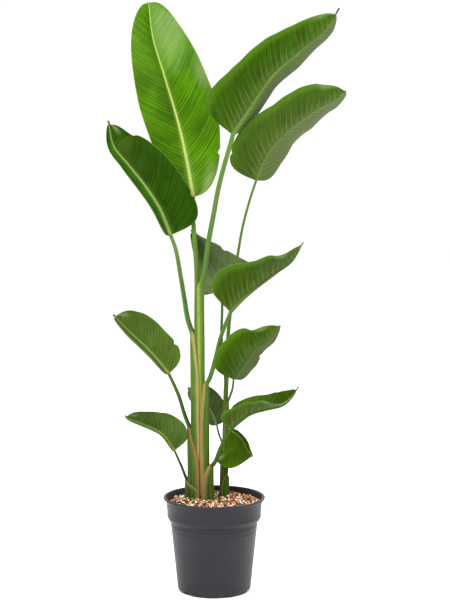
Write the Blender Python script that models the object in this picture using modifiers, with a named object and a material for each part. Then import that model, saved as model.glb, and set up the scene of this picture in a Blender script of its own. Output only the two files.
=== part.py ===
"""A young giant white bird of paradise in a round nursery pot, in metres with +Z up.

The origin is the middle of the pot's underside, and the plant's best side faces -Y.
Two shoots stand in the soil. A shoot is a flat fan: each older leaf's sheath clasps all the younger ones.
"""

import math
from collections import namedtuple

import bmesh
import bpy
import numpy as np

# Driving dimensions of the pot
RIM_RADIUS = 0.122
POT_HEIGHT = 0.227
FOOT_RADIUS = 0.0885
FLOOR_TOP = 0.0085
FOOT_RECESS = 0.006
NOTCHES = 6
NOTCH_TURN = -76
NOTCH_RADIUS = 0.079
NOTCH_SIZE = (0.026, 0.028, 0.0056)
DRAIN_CIRCLE = 0.052
DRAIN_RADIUS = 0.004
DRAIN_SIDES = 8
TURNED_SIDES = 32

# Driving dimensions of the soil
SOIL_HEIGHT = 0.214
SOIL_TOP_RADIUS = 0.1115
SOIL_CLEARANCE = 0.0006
SOIL_RELIEF = 0.0028
SOIL_EDGE_DIP = 0.003
SOIL_RINGS = 10
CHIP_WAVES = ((230, 70), (-90, 210), (410, -330))
HOLE_FLOOR = 0.165
HOLE_TOP = 0.245
HOLE_SIDES = 24

# Driving dimensions of the leaves
BLADE_THICKNESS = 0.001
GAP = 0.0003
SHEATH_THICKNESS = 0.0016
TIP_HALF_WIDTH = 0.0022
RIB_SHARE = 0.8
RIB_END = 0.0009

# How a stalk is lofted: its sheath, its free petiole and its keel under the blade
ARC_POINTS = 7
SHEATH_SWELL = 1.15
SHEATH_WRAP = 80
SHEATH_TURN = 20
WRAP_RISE = 0.12
WRAP_RINGS = 6
WRAP_EASE = 2
STEM_STEPS = 80
STEM_SHARES = (0.07, 0.25, 0.5, 0.75, 0.95)
STEM_THINNING = 0.2
KEEL_END = 0.93
KEEL_GAP = 0.0005
KEEL_DEPTH = 0.8
KEEL_END_DEPTH = 0.001
FACE_CROWN = 0.0001

FRONT = np.array([0.0, -1.0, 0.0])
UP = np.array([0.0, 0.0, 1.0])

# A shoot's axis runs up its middle. Its fan is turned this many degrees from +X, and its core is the
# half width of the youngest leaf's stalk.
Shoot = namedtuple("Shoot", "axis fan core")

# A leaf's petiole has a half width and a depth. The stem's points lead from the sheath's top to the blade,
# and the rib's points from the blade's base to its tip. Pairs are of the left and the right half, seen from
# the leaf's upper side with its tip up, and pairs of angles are at the base and at the tip, in degrees.
# Each half has a half width, a skew that moves its widest place to the base when under 1, two powers that
# fill it out at the base and at the tip, and a taper. The tip is the share of the blade in its drip tip.
# A wave has a height, a count and a phase. A grid counts the faces along a blade and across half of it.
Leaf = namedtuple(
    "Leaf",
    "name shoot side sheath_top petiole stem rib halves tip turn fold curl wave grid",
)

SHOOTS = {
    "main": Shoot(
        axis=[(-0.0375, 0.030, 0.165), (-0.0415, 0.030, 0.770)],
        fan=30,
        core=0.0070,
    ),
    "second": Shoot(
        axis=[(0.0225, 0.055, 0.165), (0.0335, 0.050, 0.620)],
        fan=60,
        core=0.0044,
    ),
}

# Leaves of each shoot from the youngest to the oldest
LEAVES = [
    Leaf(
        name="crown_leaf", shoot="main", side=0, sheath_top=0.770, petiole=(0.0060, 0.0060),
        stem=[(-0.047, 0.033, 0.850), (-0.051, 0.039, 0.900)],
        rib=[(-0.050, 0.048, 0.942), (-0.065, 0.074, 1.025), (-0.087, 0.098, 1.120),
             (-0.120, 0.123, 1.230), (-0.149, 0.147, 1.325), (-0.161, 0.170, 1.412)],
        halves=((0.084, 1.0, 1.5, 1.8, 0), (0.11, 0.88, 1.4, 2.4, 0)),
        tip=0.004, turn=(0, 0), fold=((-20, 45), (-5, 35)), curl=(0, 12),
        wave=(0.003, 3.0, 1.0), grid=(16, 4),
    ),
    Leaf(
        name="upper_right_leaf", shoot="main", side=1, sheath_top=0.725, petiole=(0.0064, 0.0105),
        stem=[(-0.0245, 0.015, 0.772), (-0.0165, 0.008, 0.834), (-0.006, 0.000, 0.889),
              (0.012, -0.013, 0.980)],
        rib=[(0.043, -0.040, 1.090), (0.081, -0.060, 1.146), (0.133, -0.090, 1.220),
             (0.196, -0.120, 1.275), (0.255, -0.145, 1.325), (0.281, -0.150, 1.366)],
        halves=((0.07, 0.95, 1.5, 4.0, 0), (0.078, 0.8, 5.0, 8.0, 0.75)),
        tip=0.045, turn=(-130, -130), fold=((-5, 15), (50, 5)),
        curl=(30, 25), wave=(0.003, 2.5, 3.0), grid=(15, 4),
    ),
    Leaf(
        name="upper_left_leaf", shoot="main", side=-1, sheath_top=0.612, petiole=(0.0056, 0.0105),
        stem=[(-0.060, 0.030, 0.650), (-0.069, 0.025, 0.700), (-0.079, 0.021, 0.757),
              (-0.090, 0.020, 0.815)],
        rib=[(-0.103, 0.022, 0.852), (-0.129, 0.030, 0.915), (-0.165, 0.040, 0.970),
             (-0.206, 0.055, 1.020), (-0.241, 0.070, 1.064), (-0.254, 0.080, 1.123)],
        halves=((0.048, 0.6, 2.5, 2.0, 0), (0.083, 0.68, 4.0, 2.2, 0)),
        tip=0.03, turn=(15, 20), fold=((45, 25), (10, 15)),
        curl=(60, 15), wave=(0.002, 2.5, 4.0), grid=(14, 4),
    ),
    Leaf(
        name="mid_right_leaf", shoot="main", side=1, sheath_top=0.494, petiole=(0.0050, 0.0095),
        stem=[(-0.012, 0.014, 0.515), (0.001, 0.005, 0.560), (0.015, -0.005, 0.616)],
        rib=[(0.038, -0.020, 0.675), (0.061, -0.030, 0.700), (0.094, -0.045, 0.730),
             (0.144, -0.070, 0.769), (0.181, -0.085, 0.798), (0.206, -0.100, 0.842)],
        halves=((0.06, 0.58, 3.2, 2.6, 0), (0.095, 0.5, 1.0, 1.8, 0)),
        tip=0.04, turn=(-130, -130), fold=((35, 35), (50, -15)),
        curl=(40, 20), wave=(0.003, 2.0, 2.0), grid=(12, 4),
    ),
    Leaf(
        name="mid_left_leaf", shoot="main", side=-1, sheath_top=0.384, petiole=(0.0046, 0.0090),
        stem=[(-0.0706, 0.037, 0.422), (-0.079, 0.036, 0.449), (-0.089, 0.035, 0.476)],
        rib=[(-0.109, 0.035, 0.518), (-0.140, 0.045, 0.555), (-0.172, 0.055, 0.587),
             (-0.207, 0.070, 0.617), (-0.246, 0.085, 0.655)],
        halves=((0.052, 0.85, 2.6, 3.6, 0), (0.062, 0.8, 3.0, 3.4, 0)),
        tip=0.04, turn=(25, 25), fold=((45, 45), (25, 25)),
        curl=(50, 25), wave=(0.003, 2.0, 5.0), grid=(11, 4),
    ),
    Leaf(
        name="low_right_leaf", shoot="main", side=1, sheath_top=0.297, petiole=(0.0050, 0.0095),
        stem=[(0.001, 0.006, 0.313), (0.012, -0.003, 0.345), (0.025, -0.015, 0.373)],
        rib=[(0.038, -0.025, 0.396), (0.054, -0.028, 0.411), (0.085, -0.036, 0.434),
             (0.120, -0.050, 0.446), (0.159, -0.070, 0.458), (0.182, -0.085, 0.480),
             (0.197, -0.095, 0.506)],
        halves=((0.04, 0.55, 2.4, 2.6, 0), (0.048, 0.55, 2.4, 2.6, 0)),
        tip=0.05, turn=(-110, -105), fold=((60, 85), (60, -5)),
        curl=(10, 10), wave=(0.003, 1.5, 0.5), grid=(11, 4),
    ),
    Leaf(
        name="low_left_leaf", shoot="main", side=-1, sheath_top=0.256, petiole=(0.0034, 0.0065),
        stem=[(-0.0705, 0.038, 0.272), (-0.077, 0.037, 0.288), (-0.085, 0.036, 0.306)],
        rib=[(-0.096, 0.036, 0.330), (-0.122, 0.045, 0.366), (-0.146, 0.055, 0.380),
             (-0.175, 0.062, 0.391), (-0.203, 0.070, 0.400), (-0.218, 0.080, 0.407)],
        halves=((0.04, 0.72, 2.6, 3.0, 0), (0.056, 0.5, 1.4, 1.1, 0)),
        tip=0.04, turn=(20, 20), fold=((60, 60), (20, 20)),
        curl=(40, 25), wave=(0.003, 1.5, 3.5), grid=(9, 3),
    ),
    Leaf(
        name="right_leaf", shoot="second", side=0, sheath_top=0.620, petiole=(0.0046, 0.0046),
        stem=[(0.049, 0.043, 0.755), (0.065, 0.037, 0.860), (0.084, 0.030, 0.935)],
        rib=[(0.099, 0.025, 0.982), (0.123, 0.010, 1.037), (0.159, -0.010, 1.085),
             (0.228, -0.035, 1.140), (0.275, -0.050, 1.165), (0.304, -0.060, 1.187)],
        halves=((0.075, 0.8, 2.8, 4.0, 0), (0.08, 0.8, 3.0, 8.0, 0.55)),
        tip=0.008, turn=(-125, -125), fold=((-25, 12), (28, 10)),
        curl=(25, 35), wave=(0.003, 2.5, 1.5), grid=(14, 4),
    ),
    Leaf(
        name="centre_leaf", shoot="second", side=-1, sheath_top=0.495, petiole=(0.0036, 0.0045),
        stem=[(0.018, 0.070, 0.595), (0.019, 0.078, 0.663)],
        rib=[(0.019, 0.085, 0.715), (0.004, 0.105, 0.746), (-0.015, 0.135, 0.785),
             (-0.036, 0.160, 0.823), (-0.058, 0.185, 0.856)],
        halves=((0.056, 0.36, 2.2, 1.8, 0), (0.092, 0.3, 2.4, 1.1, 0)),
        tip=0.04, turn=(5, 5), fold=((0, 50), (-25, 85)),
        curl=(30, 10), wave=(0.006, 2.0, 5.5), grid=(11, 4),
    ),
    Leaf(
        name="lower_right_leaf", shoot="second", side=1, sheath_top=0.445, petiole=(0.0032, 0.0042),
        stem=[(0.043, 0.041, 0.478)],
        rib=[(0.046, 0.032, 0.505), (0.072, 0.016, 0.544), (0.098, 0.002, 0.582),
             (0.126, -0.014, 0.603), (0.156, -0.028, 0.641)],
        halves=((0.034, 0.5, 1.6, 1.1, 0), (0.082, 0.64, 1.7, 1.4, 0)),
        tip=0.02, turn=(-140, -140), fold=((0, 0), (5, 5)),
        curl=(0, 25), wave=(0.003, 2.0, 0.0), grid=(11, 4),
    ),
    Leaf(
        name="small_left_leaf", shoot="second", side=-1, sheath_top=0.340, petiole=(0.0028, 0.0036),
        stem=[(0.011, 0.078, 0.363)],
        rib=[(0.006, 0.082, 0.384), (-0.004, 0.090, 0.410), (-0.028, 0.098, 0.444),
             (-0.066, 0.108, 0.472)],
        halves=((0.036, 0.8, 2.4, 2.6, 0), (0.04, 0.8, 2.4, 2.6, 0)),
        tip=0.04, turn=(15, 15), fold=((25, 25), (20, 20)),
        curl=(30, 25), wave=(0.002, 1.5, 2.5), grid=(8, 3),
    ),
    Leaf(
        name="small_right_leaf", shoot="second", side=1, sheath_top=0.268, petiole=(0.0028, 0.0036),
        stem=[(0.033, 0.040, 0.300), (0.037, 0.039, 0.340)],
        rib=[(0.042, 0.040, 0.378), (0.056, 0.032, 0.370), (0.069, 0.024, 0.356),
             (0.080, 0.017, 0.336), (0.093, 0.010, 0.321)],
        halves=((0.028, 0.95, 2.4, 2.8, 0), (0.08, 0.95, 2.4, 2.8, 0)),
        tip=0.03, turn=(0, 0), fold=((60, 60), (-5, -5)),
        curl=(20, 20), wave=(0.004, 1.5, 4.5), grid=(9, 4),
    ),
]


def unit(vectors):
    """Vectors scaled to length one."""
    vectors = np.asarray(vectors, float)
    return vectors / np.linalg.norm(vectors, axis=-1, keepdims=True)


def smooth_curve(points, count=120):
    """A Catmull-Rom curve through the points, with its points evenly spaced."""
    points = np.asarray(points, float)
    ends = [2 * points[0] - points[1], *points, 2 * points[-1] - points[-2]]
    steps = np.linspace(0, 1, 24, endpoint=False)[:, None]
    curve = []
    for a, b, c, d in zip(ends, ends[1:], ends[2:], ends[3:]):
        curve.append(
            0.5 * (2 * b + (c - a) * steps + (2 * a - 5 * b + 4 * c - d) * steps**2
                   + (3 * b - a - 3 * c + d) * steps**3)
        )
    curve = np.vstack([*curve, points[-1:]])
    return resample(curve, np.linspace(0, 1, count))


def resample(curve, shares):
    """Points at these shares of a polyline's length."""
    lengths = np.r_[0, np.cumsum(np.linalg.norm(np.diff(curve, axis=0), axis=1))]
    shares = np.asarray(shares) * lengths[-1]
    return np.stack([np.interp(shares, lengths, curve[:, axis]) for axis in range(3)], -1)


def leaf_frames(curve, turns):
    """Side and upper normal along a curve; a turn of 0 faces the front and 90 faces +X."""
    tangent = unit(np.gradient(curve, axis=0))
    facing = unit(FRONT - (tangent @ FRONT)[:, None] * tangent)
    across = np.cross(tangent, facing)
    turns = np.radians(turns)[:, None]
    normal = np.sin(turns) * across + np.cos(turns) * facing
    return np.cross(tangent, normal), normal


def rib_half_width(leaf, share):
    """Half width of the pale rib's channel at a share of the blade's length."""
    base = leaf.petiole[0] * RIB_SHARE
    return base + (RIB_END - base) * np.asarray(share) ** 0.7


def blade_half_width(leaf, side, share):
    """Half width of the blade on one side: a full oval that ends in a narrow drip tip."""
    width, skew, base, point, taper = leaf.halves[side]
    inner = np.clip(np.asarray(share) / (1 - leaf.tip), 0, 1)
    width = width * (1 + taper * (0.5 - inner))
    inner = inner**skew
    power = np.where(inner < 0.5, base, point)
    oval = np.sqrt(np.clip(1 - np.abs(2 * inner - 1) ** power, 0, 1))
    return np.maximum(width * oval, TIP_HALF_WIDTH)


def blade_stations(count):
    """Shares of the blade's length, closer together near its two ends."""
    even = np.linspace(0, 1, count)
    return 0.35 * even + 0.65 * (1 - np.cos(math.pi * even)) / 2


def blade_half(leaf, side, rib, shares, across):
    """Columns of one half of the blade, from the edge of the rib's channel to the margin."""
    sideways, normal = leaf_frames(rib, np.linspace(*leaf.turn, len(rib)))
    sideways = sideways * (-1, 1)[side]
    outward = np.linspace(0, 1, across + 1)
    middles = (outward[1:] + outward[:-1]) / 2
    fold = np.interp(np.sqrt(shares), (0, 1), leaf.fold[side])[:, None]
    angles = np.radians(fold + leaf.curl[side] * middles**1.5)
    step = (blade_half_width(leaf, side, shares) / across)[:, None]
    start = np.zeros((len(rib), 1))
    run = np.hstack([start, np.cumsum(step * np.cos(angles), axis=1)])
    rise = np.hstack([start, np.cumsum(step * np.sin(angles), axis=1)])
    height, count, phase = leaf.wave
    ripple = np.sin(2 * math.pi * count * shares + 1.7 * side + phase) * np.sin(math.pi * shares)
    rise = rise + height * ripple[:, None] * outward**2
    run = run + rib_half_width(leaf, shares)[:, None]
    return rib[:, None, :] + run[..., None] * sideways[:, None, :] + rise[..., None] * normal[:, None, :]


def blade_surface(leaf, along, across):
    """The blade's middle surface as a grid of points: rows run from base to tip, columns left to right."""
    shares = blade_stations(along + 1)
    rib = resample(smooth_curve(leaf.rib), shares)
    left = blade_half(leaf, 0, rib, shares, across)
    right = blade_half(leaf, 1, rib, shares, across)
    return np.concatenate([left[:, ::-1], right], axis=1)


def shoot_leaves(name):
    """The shoot's leaves from the youngest to the oldest."""
    return [leaf for leaf in LEAVES if leaf.shoot == name]


def fan_direction(shoot, side):
    """Horizontal direction in which the fan spreads on this side."""
    angle = math.radians(shoot.fan)
    return np.array([math.cos(angle), -math.sin(angle), 0.0]) * (side or 1)


def axis_point(shoot, height):
    """The shoot's axis at a height."""
    axis = np.asarray(shoot.axis)
    return np.array([np.interp(height, axis[:, 2], axis[:, column]) for column in (0, 1)] + [height])


def bundle_outline(shoot_name, layers, height):
    """Centre and half axes of the oval round the youngest leaf and this many sheaths."""
    shoot = SHOOTS[shoot_name]
    centre = axis_point(shoot, height)
    half_length = half_depth = shoot.core
    for leaf in shoot_leaves(shoot_name)[1:layers + 1]:
        thickness = leaf.petiole[1] * SHEATH_SWELL + GAP
        centre = centre + fan_direction(shoot, leaf.side) * thickness / 2
        half_length += thickness / 2
        half_depth += SHEATH_THICKNESS + GAP
    return centre, half_length, half_depth


def sheath_room(shoot_name, layers, height):
    """The same oval with a gap round it, widened so that a faceted sheath's flats clear it."""
    centre, length, depth = bundle_outline(shoot_name, layers, height)
    clear = math.cos(math.radians(SHEATH_WRAP) / (ARC_POINTS - 1))
    return centre, (length + GAP) / clear, (depth + GAP) / clear


def sheath_ring(leaf, layer, height, free):
    """One horizontal section of a sheath, as two arcs, narrowing as it comes free of the younger leaves."""
    out = fan_direction(SHOOTS[leaf.shoot], leaf.side)
    side = np.cross(UP, out)
    top_depth = sheath_room(leaf.shoot, layer - 1, leaf.sheath_top)[2]
    top_wrap = math.asin(min(0.95, leaf.petiole[0] / top_depth))
    full_wrap = math.radians(SHEATH_WRAP)
    wrap = full_wrap + (top_wrap - full_wrap) * free
    middle = math.radians(SHEATH_TURN) * (1 - free)
    angles = middle + np.linspace(-wrap, wrap, ARC_POINTS)
    centre, length, depth = bundle_outline(leaf.shoot, layer, height)
    outer = centre + np.outer(length * np.cos(angles), out) + np.outer(depth * np.sin(angles), side)
    centre, length, depth = sheath_room(leaf.shoot, layer - 1, height)
    inner = centre + np.outer(length * np.cos(angles), out) + np.outer(depth * np.sin(angles), side)
    return np.vstack([outer, inner[::-1]])


def petiole_ring(centre, side, normal, half_width, depth, bulge):
    """One section of a petiole: its round back, then the flat or bulging face over it."""
    angles = np.linspace(-math.pi / 2, math.pi / 2, ARC_POINTS)
    width = np.outer(half_width * np.sin(angles), side)
    back = centre - np.outer(depth * np.cos(angles), normal) - width
    face = centre + np.outer(FACE_CROWN + bulge * np.cos(angles), normal) - width
    return np.vstack([back, face[::-1]])


def core_rings(leaf):
    """Sections of the youngest leaf's stalk inside the sheaths, where it is round."""
    shoot = SHOOTS[leaf.shoot]
    angle = math.radians(leaf.turn[0])
    side = np.array([math.cos(angle), math.sin(angle), 0.0])
    normal = np.cross(side, UP)
    size = shoot.core
    heights = (HOLE_FLOOR + GAP, leaf.sheath_top - WRAP_RISE)
    return [petiole_ring(axis_point(shoot, height), side, normal, size, size, size) for height in heights]


def sheath_rings(leaf):
    """Sections of an older leaf's stalk from its foot in the soil to the top of its sheath."""
    layer = shoot_leaves(leaf.shoot).index(leaf)
    rise = min(WRAP_RISE, (leaf.sheath_top - SOIL_HEIGHT) * 0.6)
    rings = [sheath_ring(leaf, layer, HOLE_FLOOR + GAP, 0)]
    for share in np.linspace(0, 1, WRAP_RINGS):
        rings.append(sheath_ring(leaf, layer, leaf.sheath_top - rise * (1 - share), share**WRAP_EASE))
    return rings


def stem_start(leaf):
    """Where the free petiole starts, and which way its upper face turns there."""
    layer = shoot_leaves(leaf.shoot).index(leaf)
    shoot = SHOOTS[leaf.shoot]
    if layer == 0:
        return axis_point(shoot, leaf.sheath_top), leaf.turn[0]
    out = fan_direction(shoot, leaf.side)
    centre, length, _ = sheath_room(leaf.shoot, layer - 1, leaf.sheath_top)
    return centre + out * length, math.degrees(math.atan2(-out[0], out[1]))


def stem_rings(leaf, keel):
    """Sections of the free petiole, from the sheath's top to the start of the keel."""
    half_width, depth = leaf.petiole
    start, start_turn = stem_start(leaf)
    stem = smooth_curve([start, *leaf.stem, keel[0], keel[1]])
    stem = stem[:np.linalg.norm(stem - keel[0], axis=1).argmin() + 1]
    shares = np.linspace(0, 1, STEM_STEPS)
    stem = resample(stem, shares)
    turns = np.interp(shares, [0.15, 0.9], [start_turn, leaf.turn[0]])
    side, normal = leaf_frames(stem, turns)
    rings = []
    for share in STEM_SHARES:
        row = round(share * (STEM_STEPS - 1))
        width = half_width + (rib_half_width(leaf, 0) - half_width) * share
        bulge = 0 if leaf.side else depth * max(0, 1 - 1.5 * share)
        thick = depth * (1 - STEM_THINNING * share)
        rings.append(petiole_ring(stem[row], side[row], normal[row], width, thick, bulge))
    return rings


def stalk_rings(leaf):
    """Every section of a stalk: its sheath, its petiole, and its keel under the blade."""
    shares = blade_stations(leaf.grid[0] + 1)
    rib = resample(smooth_curve(leaf.rib), shares)
    side, normal = leaf_frames(rib, np.linspace(*leaf.turn, len(rib)))
    keel = rib - normal * (BLADE_THICKNESS / 2 + KEEL_GAP)
    rings = (sheath_rings if leaf.side else core_rings)(leaf)
    rings += stem_rings(leaf, keel)
    for row, share in enumerate(shares[shares < KEEL_END]):
        thick = max(KEEL_END_DEPTH, leaf.petiole[1] * KEEL_DEPTH * (1 - share) ** 0.8)
        rings.append(petiole_ring(keel[row], side[row], normal[row], rib_half_width(leaf, share), thick, 0))
    return np.array(rings)


def new_object(name, shape, collection, material=None):
    """An object for a bmesh, in a collection, with its material."""
    mesh = bpy.data.meshes.new(name)
    shape.to_mesh(mesh)
    shape.free()
    item = bpy.data.objects.new(name, mesh)
    collection.objects.link(item)
    if material:
        mesh.materials.append(material)
    return item


def make_material(name, colour, roughness):
    """A Principled material of one colour."""
    material = bpy.data.materials.new(name)
    material.use_nodes = True
    shader = material.node_tree.nodes["Principled BSDF"]
    shader.inputs["Base Color"].default_value = (*colour, 1)
    shader.inputs["Roughness"].default_value = roughness
    material.diffuse_color = (*colour, 1)
    return material


def smooth_shading(mesh, angle=40):
    """Smooth shading with sharp edges kept."""
    mesh.shade_smooth()
    mesh.set_sharp_from_angle(angle=math.radians(angle))


def loft(rings, name, collection, material=None):
    """A closed solid through rings of points, with a flat cap at each end."""
    shape = bmesh.new()
    loops = [[shape.verts.new(point) for point in ring] for ring in rings]
    for lower, upper in zip(loops, loops[1:]):
        for a, b, c, d in zip(lower, lower[1:] + lower[:1], upper[1:] + upper[:1], upper):
            shape.faces.new((a, b, c, d))
    shape.faces.new(loops[0][::-1])
    shape.faces.new(loops[-1])
    bmesh.ops.triangulate(shape, faces=shape.faces)
    if shape.calc_volume(signed=True) < 0:
        bmesh.ops.reverse_faces(shape, faces=shape.faces)
    item = new_object(name, shape, collection, material)
    smooth_shading(item.data)
    return item


def cut(item, cutter):
    """Takes the cutter's shape out of an object."""
    modifier = item.modifiers.new("Cut " + cutter.name, "BOOLEAN")
    modifier.operation = "DIFFERENCE"
    modifier.solver = "EXACT"
    modifier.object = cutter


def as_cutter(item):
    """Marks an object as a tool that isn't part of the plant."""
    item.hide_render = True
    item.display_type = "WIRE"
    return item


def make_blade(leaf, collection, material):
    """A blade: a flat grid bent to the leaf's surface, split into triangles and given its thickness."""
    along, across = leaf.grid
    surface = blade_surface(leaf, along, across)
    columns = surface.shape[1]
    shape = bmesh.new()
    bmesh.ops.create_grid(shape, x_segments=columns - 1, y_segments=along, size=1)
    for vertex in shape.verts:
        column = round((vertex.co.x + 1) / 2 * (columns - 1))
        row = round((vertex.co.y + 1) / 2 * along)
        vertex.co = surface[row, column]
    bmesh.ops.triangulate(shape, faces=shape.faces)
    item = new_object(leaf.name + "_blade", shape, collection, material)
    item.data.shade_smooth()
    thicken = item.modifiers.new("Thickness", "SOLIDIFY")
    thicken.thickness = BLADE_THICKNESS
    thicken.offset = 0


def pot_profile():
    """The pot's section from its floor's middle, up the inside, over the rim and down to its underside."""
    inside = [(0, FLOOR_TOP), (0.0815, FLOOR_TOP), (0.0978, 0.150), (0.1020, 0.166), (0.1082, 0.176)]
    lip = [(0.1130, 0.2195), (0.1148, 0.2260), (0.1185, POT_HEIGHT), (0.1212, 0.2256), (RIM_RADIUS, 0.2230),
           (0.1212, 0.2203), (0.1160, 0.2190)]
    outside = [(0.1152, 0.2165), (0.1110, 0.1760), (0.1098, 0.1725), (0.1046, 0.1680), (0.1036, 0.1580)]
    foot = [(FOOT_RADIUS, 0.0140), (FOOT_RADIUS - 0.0018, 0.0040), (FOOT_RADIUS - 0.0050, 0), (0.0760, 0),
            (0.0740, FOOT_RECESS), (0.0320, FOOT_RECESS), (0.0300, 0), (0, 0)]
    return inside + lip + outside + foot


def make_foot_cutter(cutters):
    """Blocks for the notches in the pot's foot, each with a peg for the drain hole behind it."""
    shape = bmesh.new()
    for index in range(NOTCHES):
        angle = math.radians(NOTCH_TURN + index * 360 / NOTCHES)
        notch = bmesh.ops.create_cube(shape, size=1)["verts"]
        drain = bmesh.ops.create_cone(
            shape, cap_ends=True, segments=DRAIN_SIDES, radius1=DRAIN_RADIUS, radius2=DRAIN_RADIUS,
            depth=FLOOR_TOP,
        )["verts"]
        length, width, height = NOTCH_SIZE
        for vertex in notch:
            along = NOTCH_RADIUS + vertex.co.x * length
            aside = vertex.co.y * width
            vertex.co = (
                along * math.cos(angle) - aside * math.sin(angle),
                along * math.sin(angle) + aside * math.cos(angle),
                vertex.co.z * height * 2,
            )
        for vertex in drain:
            vertex.co.x += DRAIN_CIRCLE * math.cos(angle)
            vertex.co.y += DRAIN_CIRCLE * math.sin(angle)
            vertex.co.z += (FOOT_RECESS + FLOOR_TOP) / 2
    return as_cutter(new_object("foot_cutter", shape, cutters))


def make_pot(collection, cutters, material):
    """The pot, turned from its section, with notches in its foot and drain holes behind them."""
    shape = bmesh.new()
    points = [shape.verts.new((radius, 0, height)) for radius, height in pot_profile()]
    for first, second in zip(points, points[1:]):
        shape.edges.new((first, second))
    pot = new_object("pot", shape, collection, material)
    turned = pot.modifiers.new("Turned", "SCREW")
    turned.steps = TURNED_SIDES
    turned.render_steps = TURNED_SIDES
    turned.use_merge_vertices = True
    turned.merge_threshold = 0.00001
    cut(pot, make_foot_cutter(cutters))


def soil_height(x, y):
    """Height of the soil: chips and hollows, falling a little towards the pot's wall."""
    first, second, third = (math.sin(a * x + b * y) for a, b in CHIP_WAVES)
    chips = (first * second + third / 2) / 1.5
    edge = (math.hypot(x, y) / SOIL_TOP_RADIUS) ** 4
    return SOIL_HEIGHT + SOIL_RELIEF * chips - SOIL_EDGE_DIP * edge


def make_hole_cutter(name, cutters):
    """An oval peg, leaning as the shoot does, for the plain hole in which it stands."""
    out = fan_direction(SHOOTS[name], 1)
    side = np.cross(out, UP)
    clear = math.cos(math.pi / HOLE_SIDES)
    angles = np.linspace(0, 2 * math.pi, HOLE_SIDES, endpoint=False)
    rings = []
    for height in (HOLE_FLOOR, HOLE_TOP):
        centre, length, depth = bundle_outline(name, len(shoot_leaves(name)) - 1, height)
        length, depth = (length + GAP) / clear, (depth + GAP) / clear
        along = np.outer(length * np.cos(angles), out)
        across = np.outer(depth * np.sin(angles), side)
        rings.append(centre + along + across)
    return as_cutter(loft(rings, name + "_hole", cutters))


def make_soil(collection, cutters, material):
    """The soil: one filling with chips in relief on top, and a plain hole for each shoot."""
    sides = [(radius - SOIL_CLEARANCE, height) for radius, height in pot_profile()[1:5]]
    sides[0] = (sides[0][0], FLOOR_TOP + GAP)
    turns = [2 * math.pi * index / TURNED_SIDES for index in range(TURNED_SIDES)]
    rings = [[(radius * math.cos(turn), radius * math.sin(turn), height) for turn in turns]
             for radius, height in sides]
    for radius in np.linspace(SOIL_TOP_RADIUS, SOIL_TOP_RADIUS / SOIL_RINGS, SOIL_RINGS):
        ring = [(radius * math.cos(a), radius * math.sin(a)) for a in turns]
        rings.append([(x, y, soil_height(x, y)) for x, y in ring])
    soil = loft(rings, "soil", collection, material)
    for name in SHOOTS:
        cut(soil, make_hole_cutter(name, cutters))


def main():
    """Clears the scene and builds the plant in its pot."""
    for item in list(bpy.data.objects):
        bpy.data.objects.remove(item, do_unlink=True)
    parts = bpy.data.collections.new("potted_giant_white_bird_of_paradise")
    cutters = bpy.data.collections.new("cutters")
    for collection in (parts, cutters):
        bpy.context.scene.collection.children.link(collection)

    make_pot(parts, cutters, make_material("pot_plastic", (0.05, 0.05, 0.055), 0.5))
    make_soil(parts, cutters, make_material("bark_mix", (0.22, 0.09, 0.04), 0.95))
    green = make_material("blade_green", (0.09, 0.22, 0.02), 0.4)
    pale = make_material("stalk_green", (0.17, 0.32, 0.06), 0.45)
    for leaf in LEAVES:
        make_blade(leaf, parts, green)
        loft(stalk_rings(leaf), leaf.name + "_stalk", parts, pale)


main()
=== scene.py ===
"""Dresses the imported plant: ribbed and veined leaves, papery sheaths, bark and pale chips, and a moulded pot.

It repeats the leaf functions of the part's source with finer steps, so that each piece keeps its node's form.
Lengths are in metres with +Z up, and the camera stands in front at -Y.
"""

import math
from collections import namedtuple

import bmesh
import bpy
import numpy as np
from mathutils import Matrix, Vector


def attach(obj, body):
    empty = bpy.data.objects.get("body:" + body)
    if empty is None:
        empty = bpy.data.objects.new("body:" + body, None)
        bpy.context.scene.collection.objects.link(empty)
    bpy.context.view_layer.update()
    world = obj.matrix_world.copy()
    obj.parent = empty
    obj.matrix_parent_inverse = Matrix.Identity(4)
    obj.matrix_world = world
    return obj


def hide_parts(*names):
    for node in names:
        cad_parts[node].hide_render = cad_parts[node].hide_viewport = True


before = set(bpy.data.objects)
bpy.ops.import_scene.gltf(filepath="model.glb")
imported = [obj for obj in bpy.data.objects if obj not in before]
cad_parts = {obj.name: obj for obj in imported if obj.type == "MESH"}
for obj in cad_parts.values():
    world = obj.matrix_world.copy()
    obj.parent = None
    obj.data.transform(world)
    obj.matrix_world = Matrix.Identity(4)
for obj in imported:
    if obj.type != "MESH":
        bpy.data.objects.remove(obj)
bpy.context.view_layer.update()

# Camera
LENS = 89
SENSOR_HEIGHT = 36
CAMERA_PLACE = (0.026, -3.5, 1.03)
CAMERA_TILT = 84.6

# White surroundings, soft lights with their place, size and power, the point that they face, and the floor
WORLD_STRENGTH = 1.08
LIGHTS = [
    ("main_light", (-1.2, -1.8, 3.2), 1.6, 100),
    ("side_light", (1.8, -0.6, 2.8), 1.2, 45),
    ("back_light", (0.4, 2.4, 2.4), 1.6, 35),
]
LIGHT_AIM = (0, 0, 0.75)
FLOOR_RADIUS = 14
FLOOR_SIDES = 64
FLOOR_TONES = ((0.93, 0.93, 0.93), (0.96, 0.96, 0.96))

# Dimensions of the pot, as in the part's source, but turned in more steps
POT_HEIGHT = 0.227
FOOT_RADIUS = 0.0885
FLOOR_TOP = 0.0085
FOOT_RECESS = 0.006
NOTCHES = 6
NOTCH_TURN = -76
NOTCH_RADIUS = 0.079
NOTCH_SIZE = (0.026, 0.028, 0.0056)
DRAIN_CIRCLE = 0.052
DRAIN_RADIUS = 0.004
DRAIN_SIDES = 32
TURNED_SIDES = 144
POT_SHARP = 22

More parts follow.
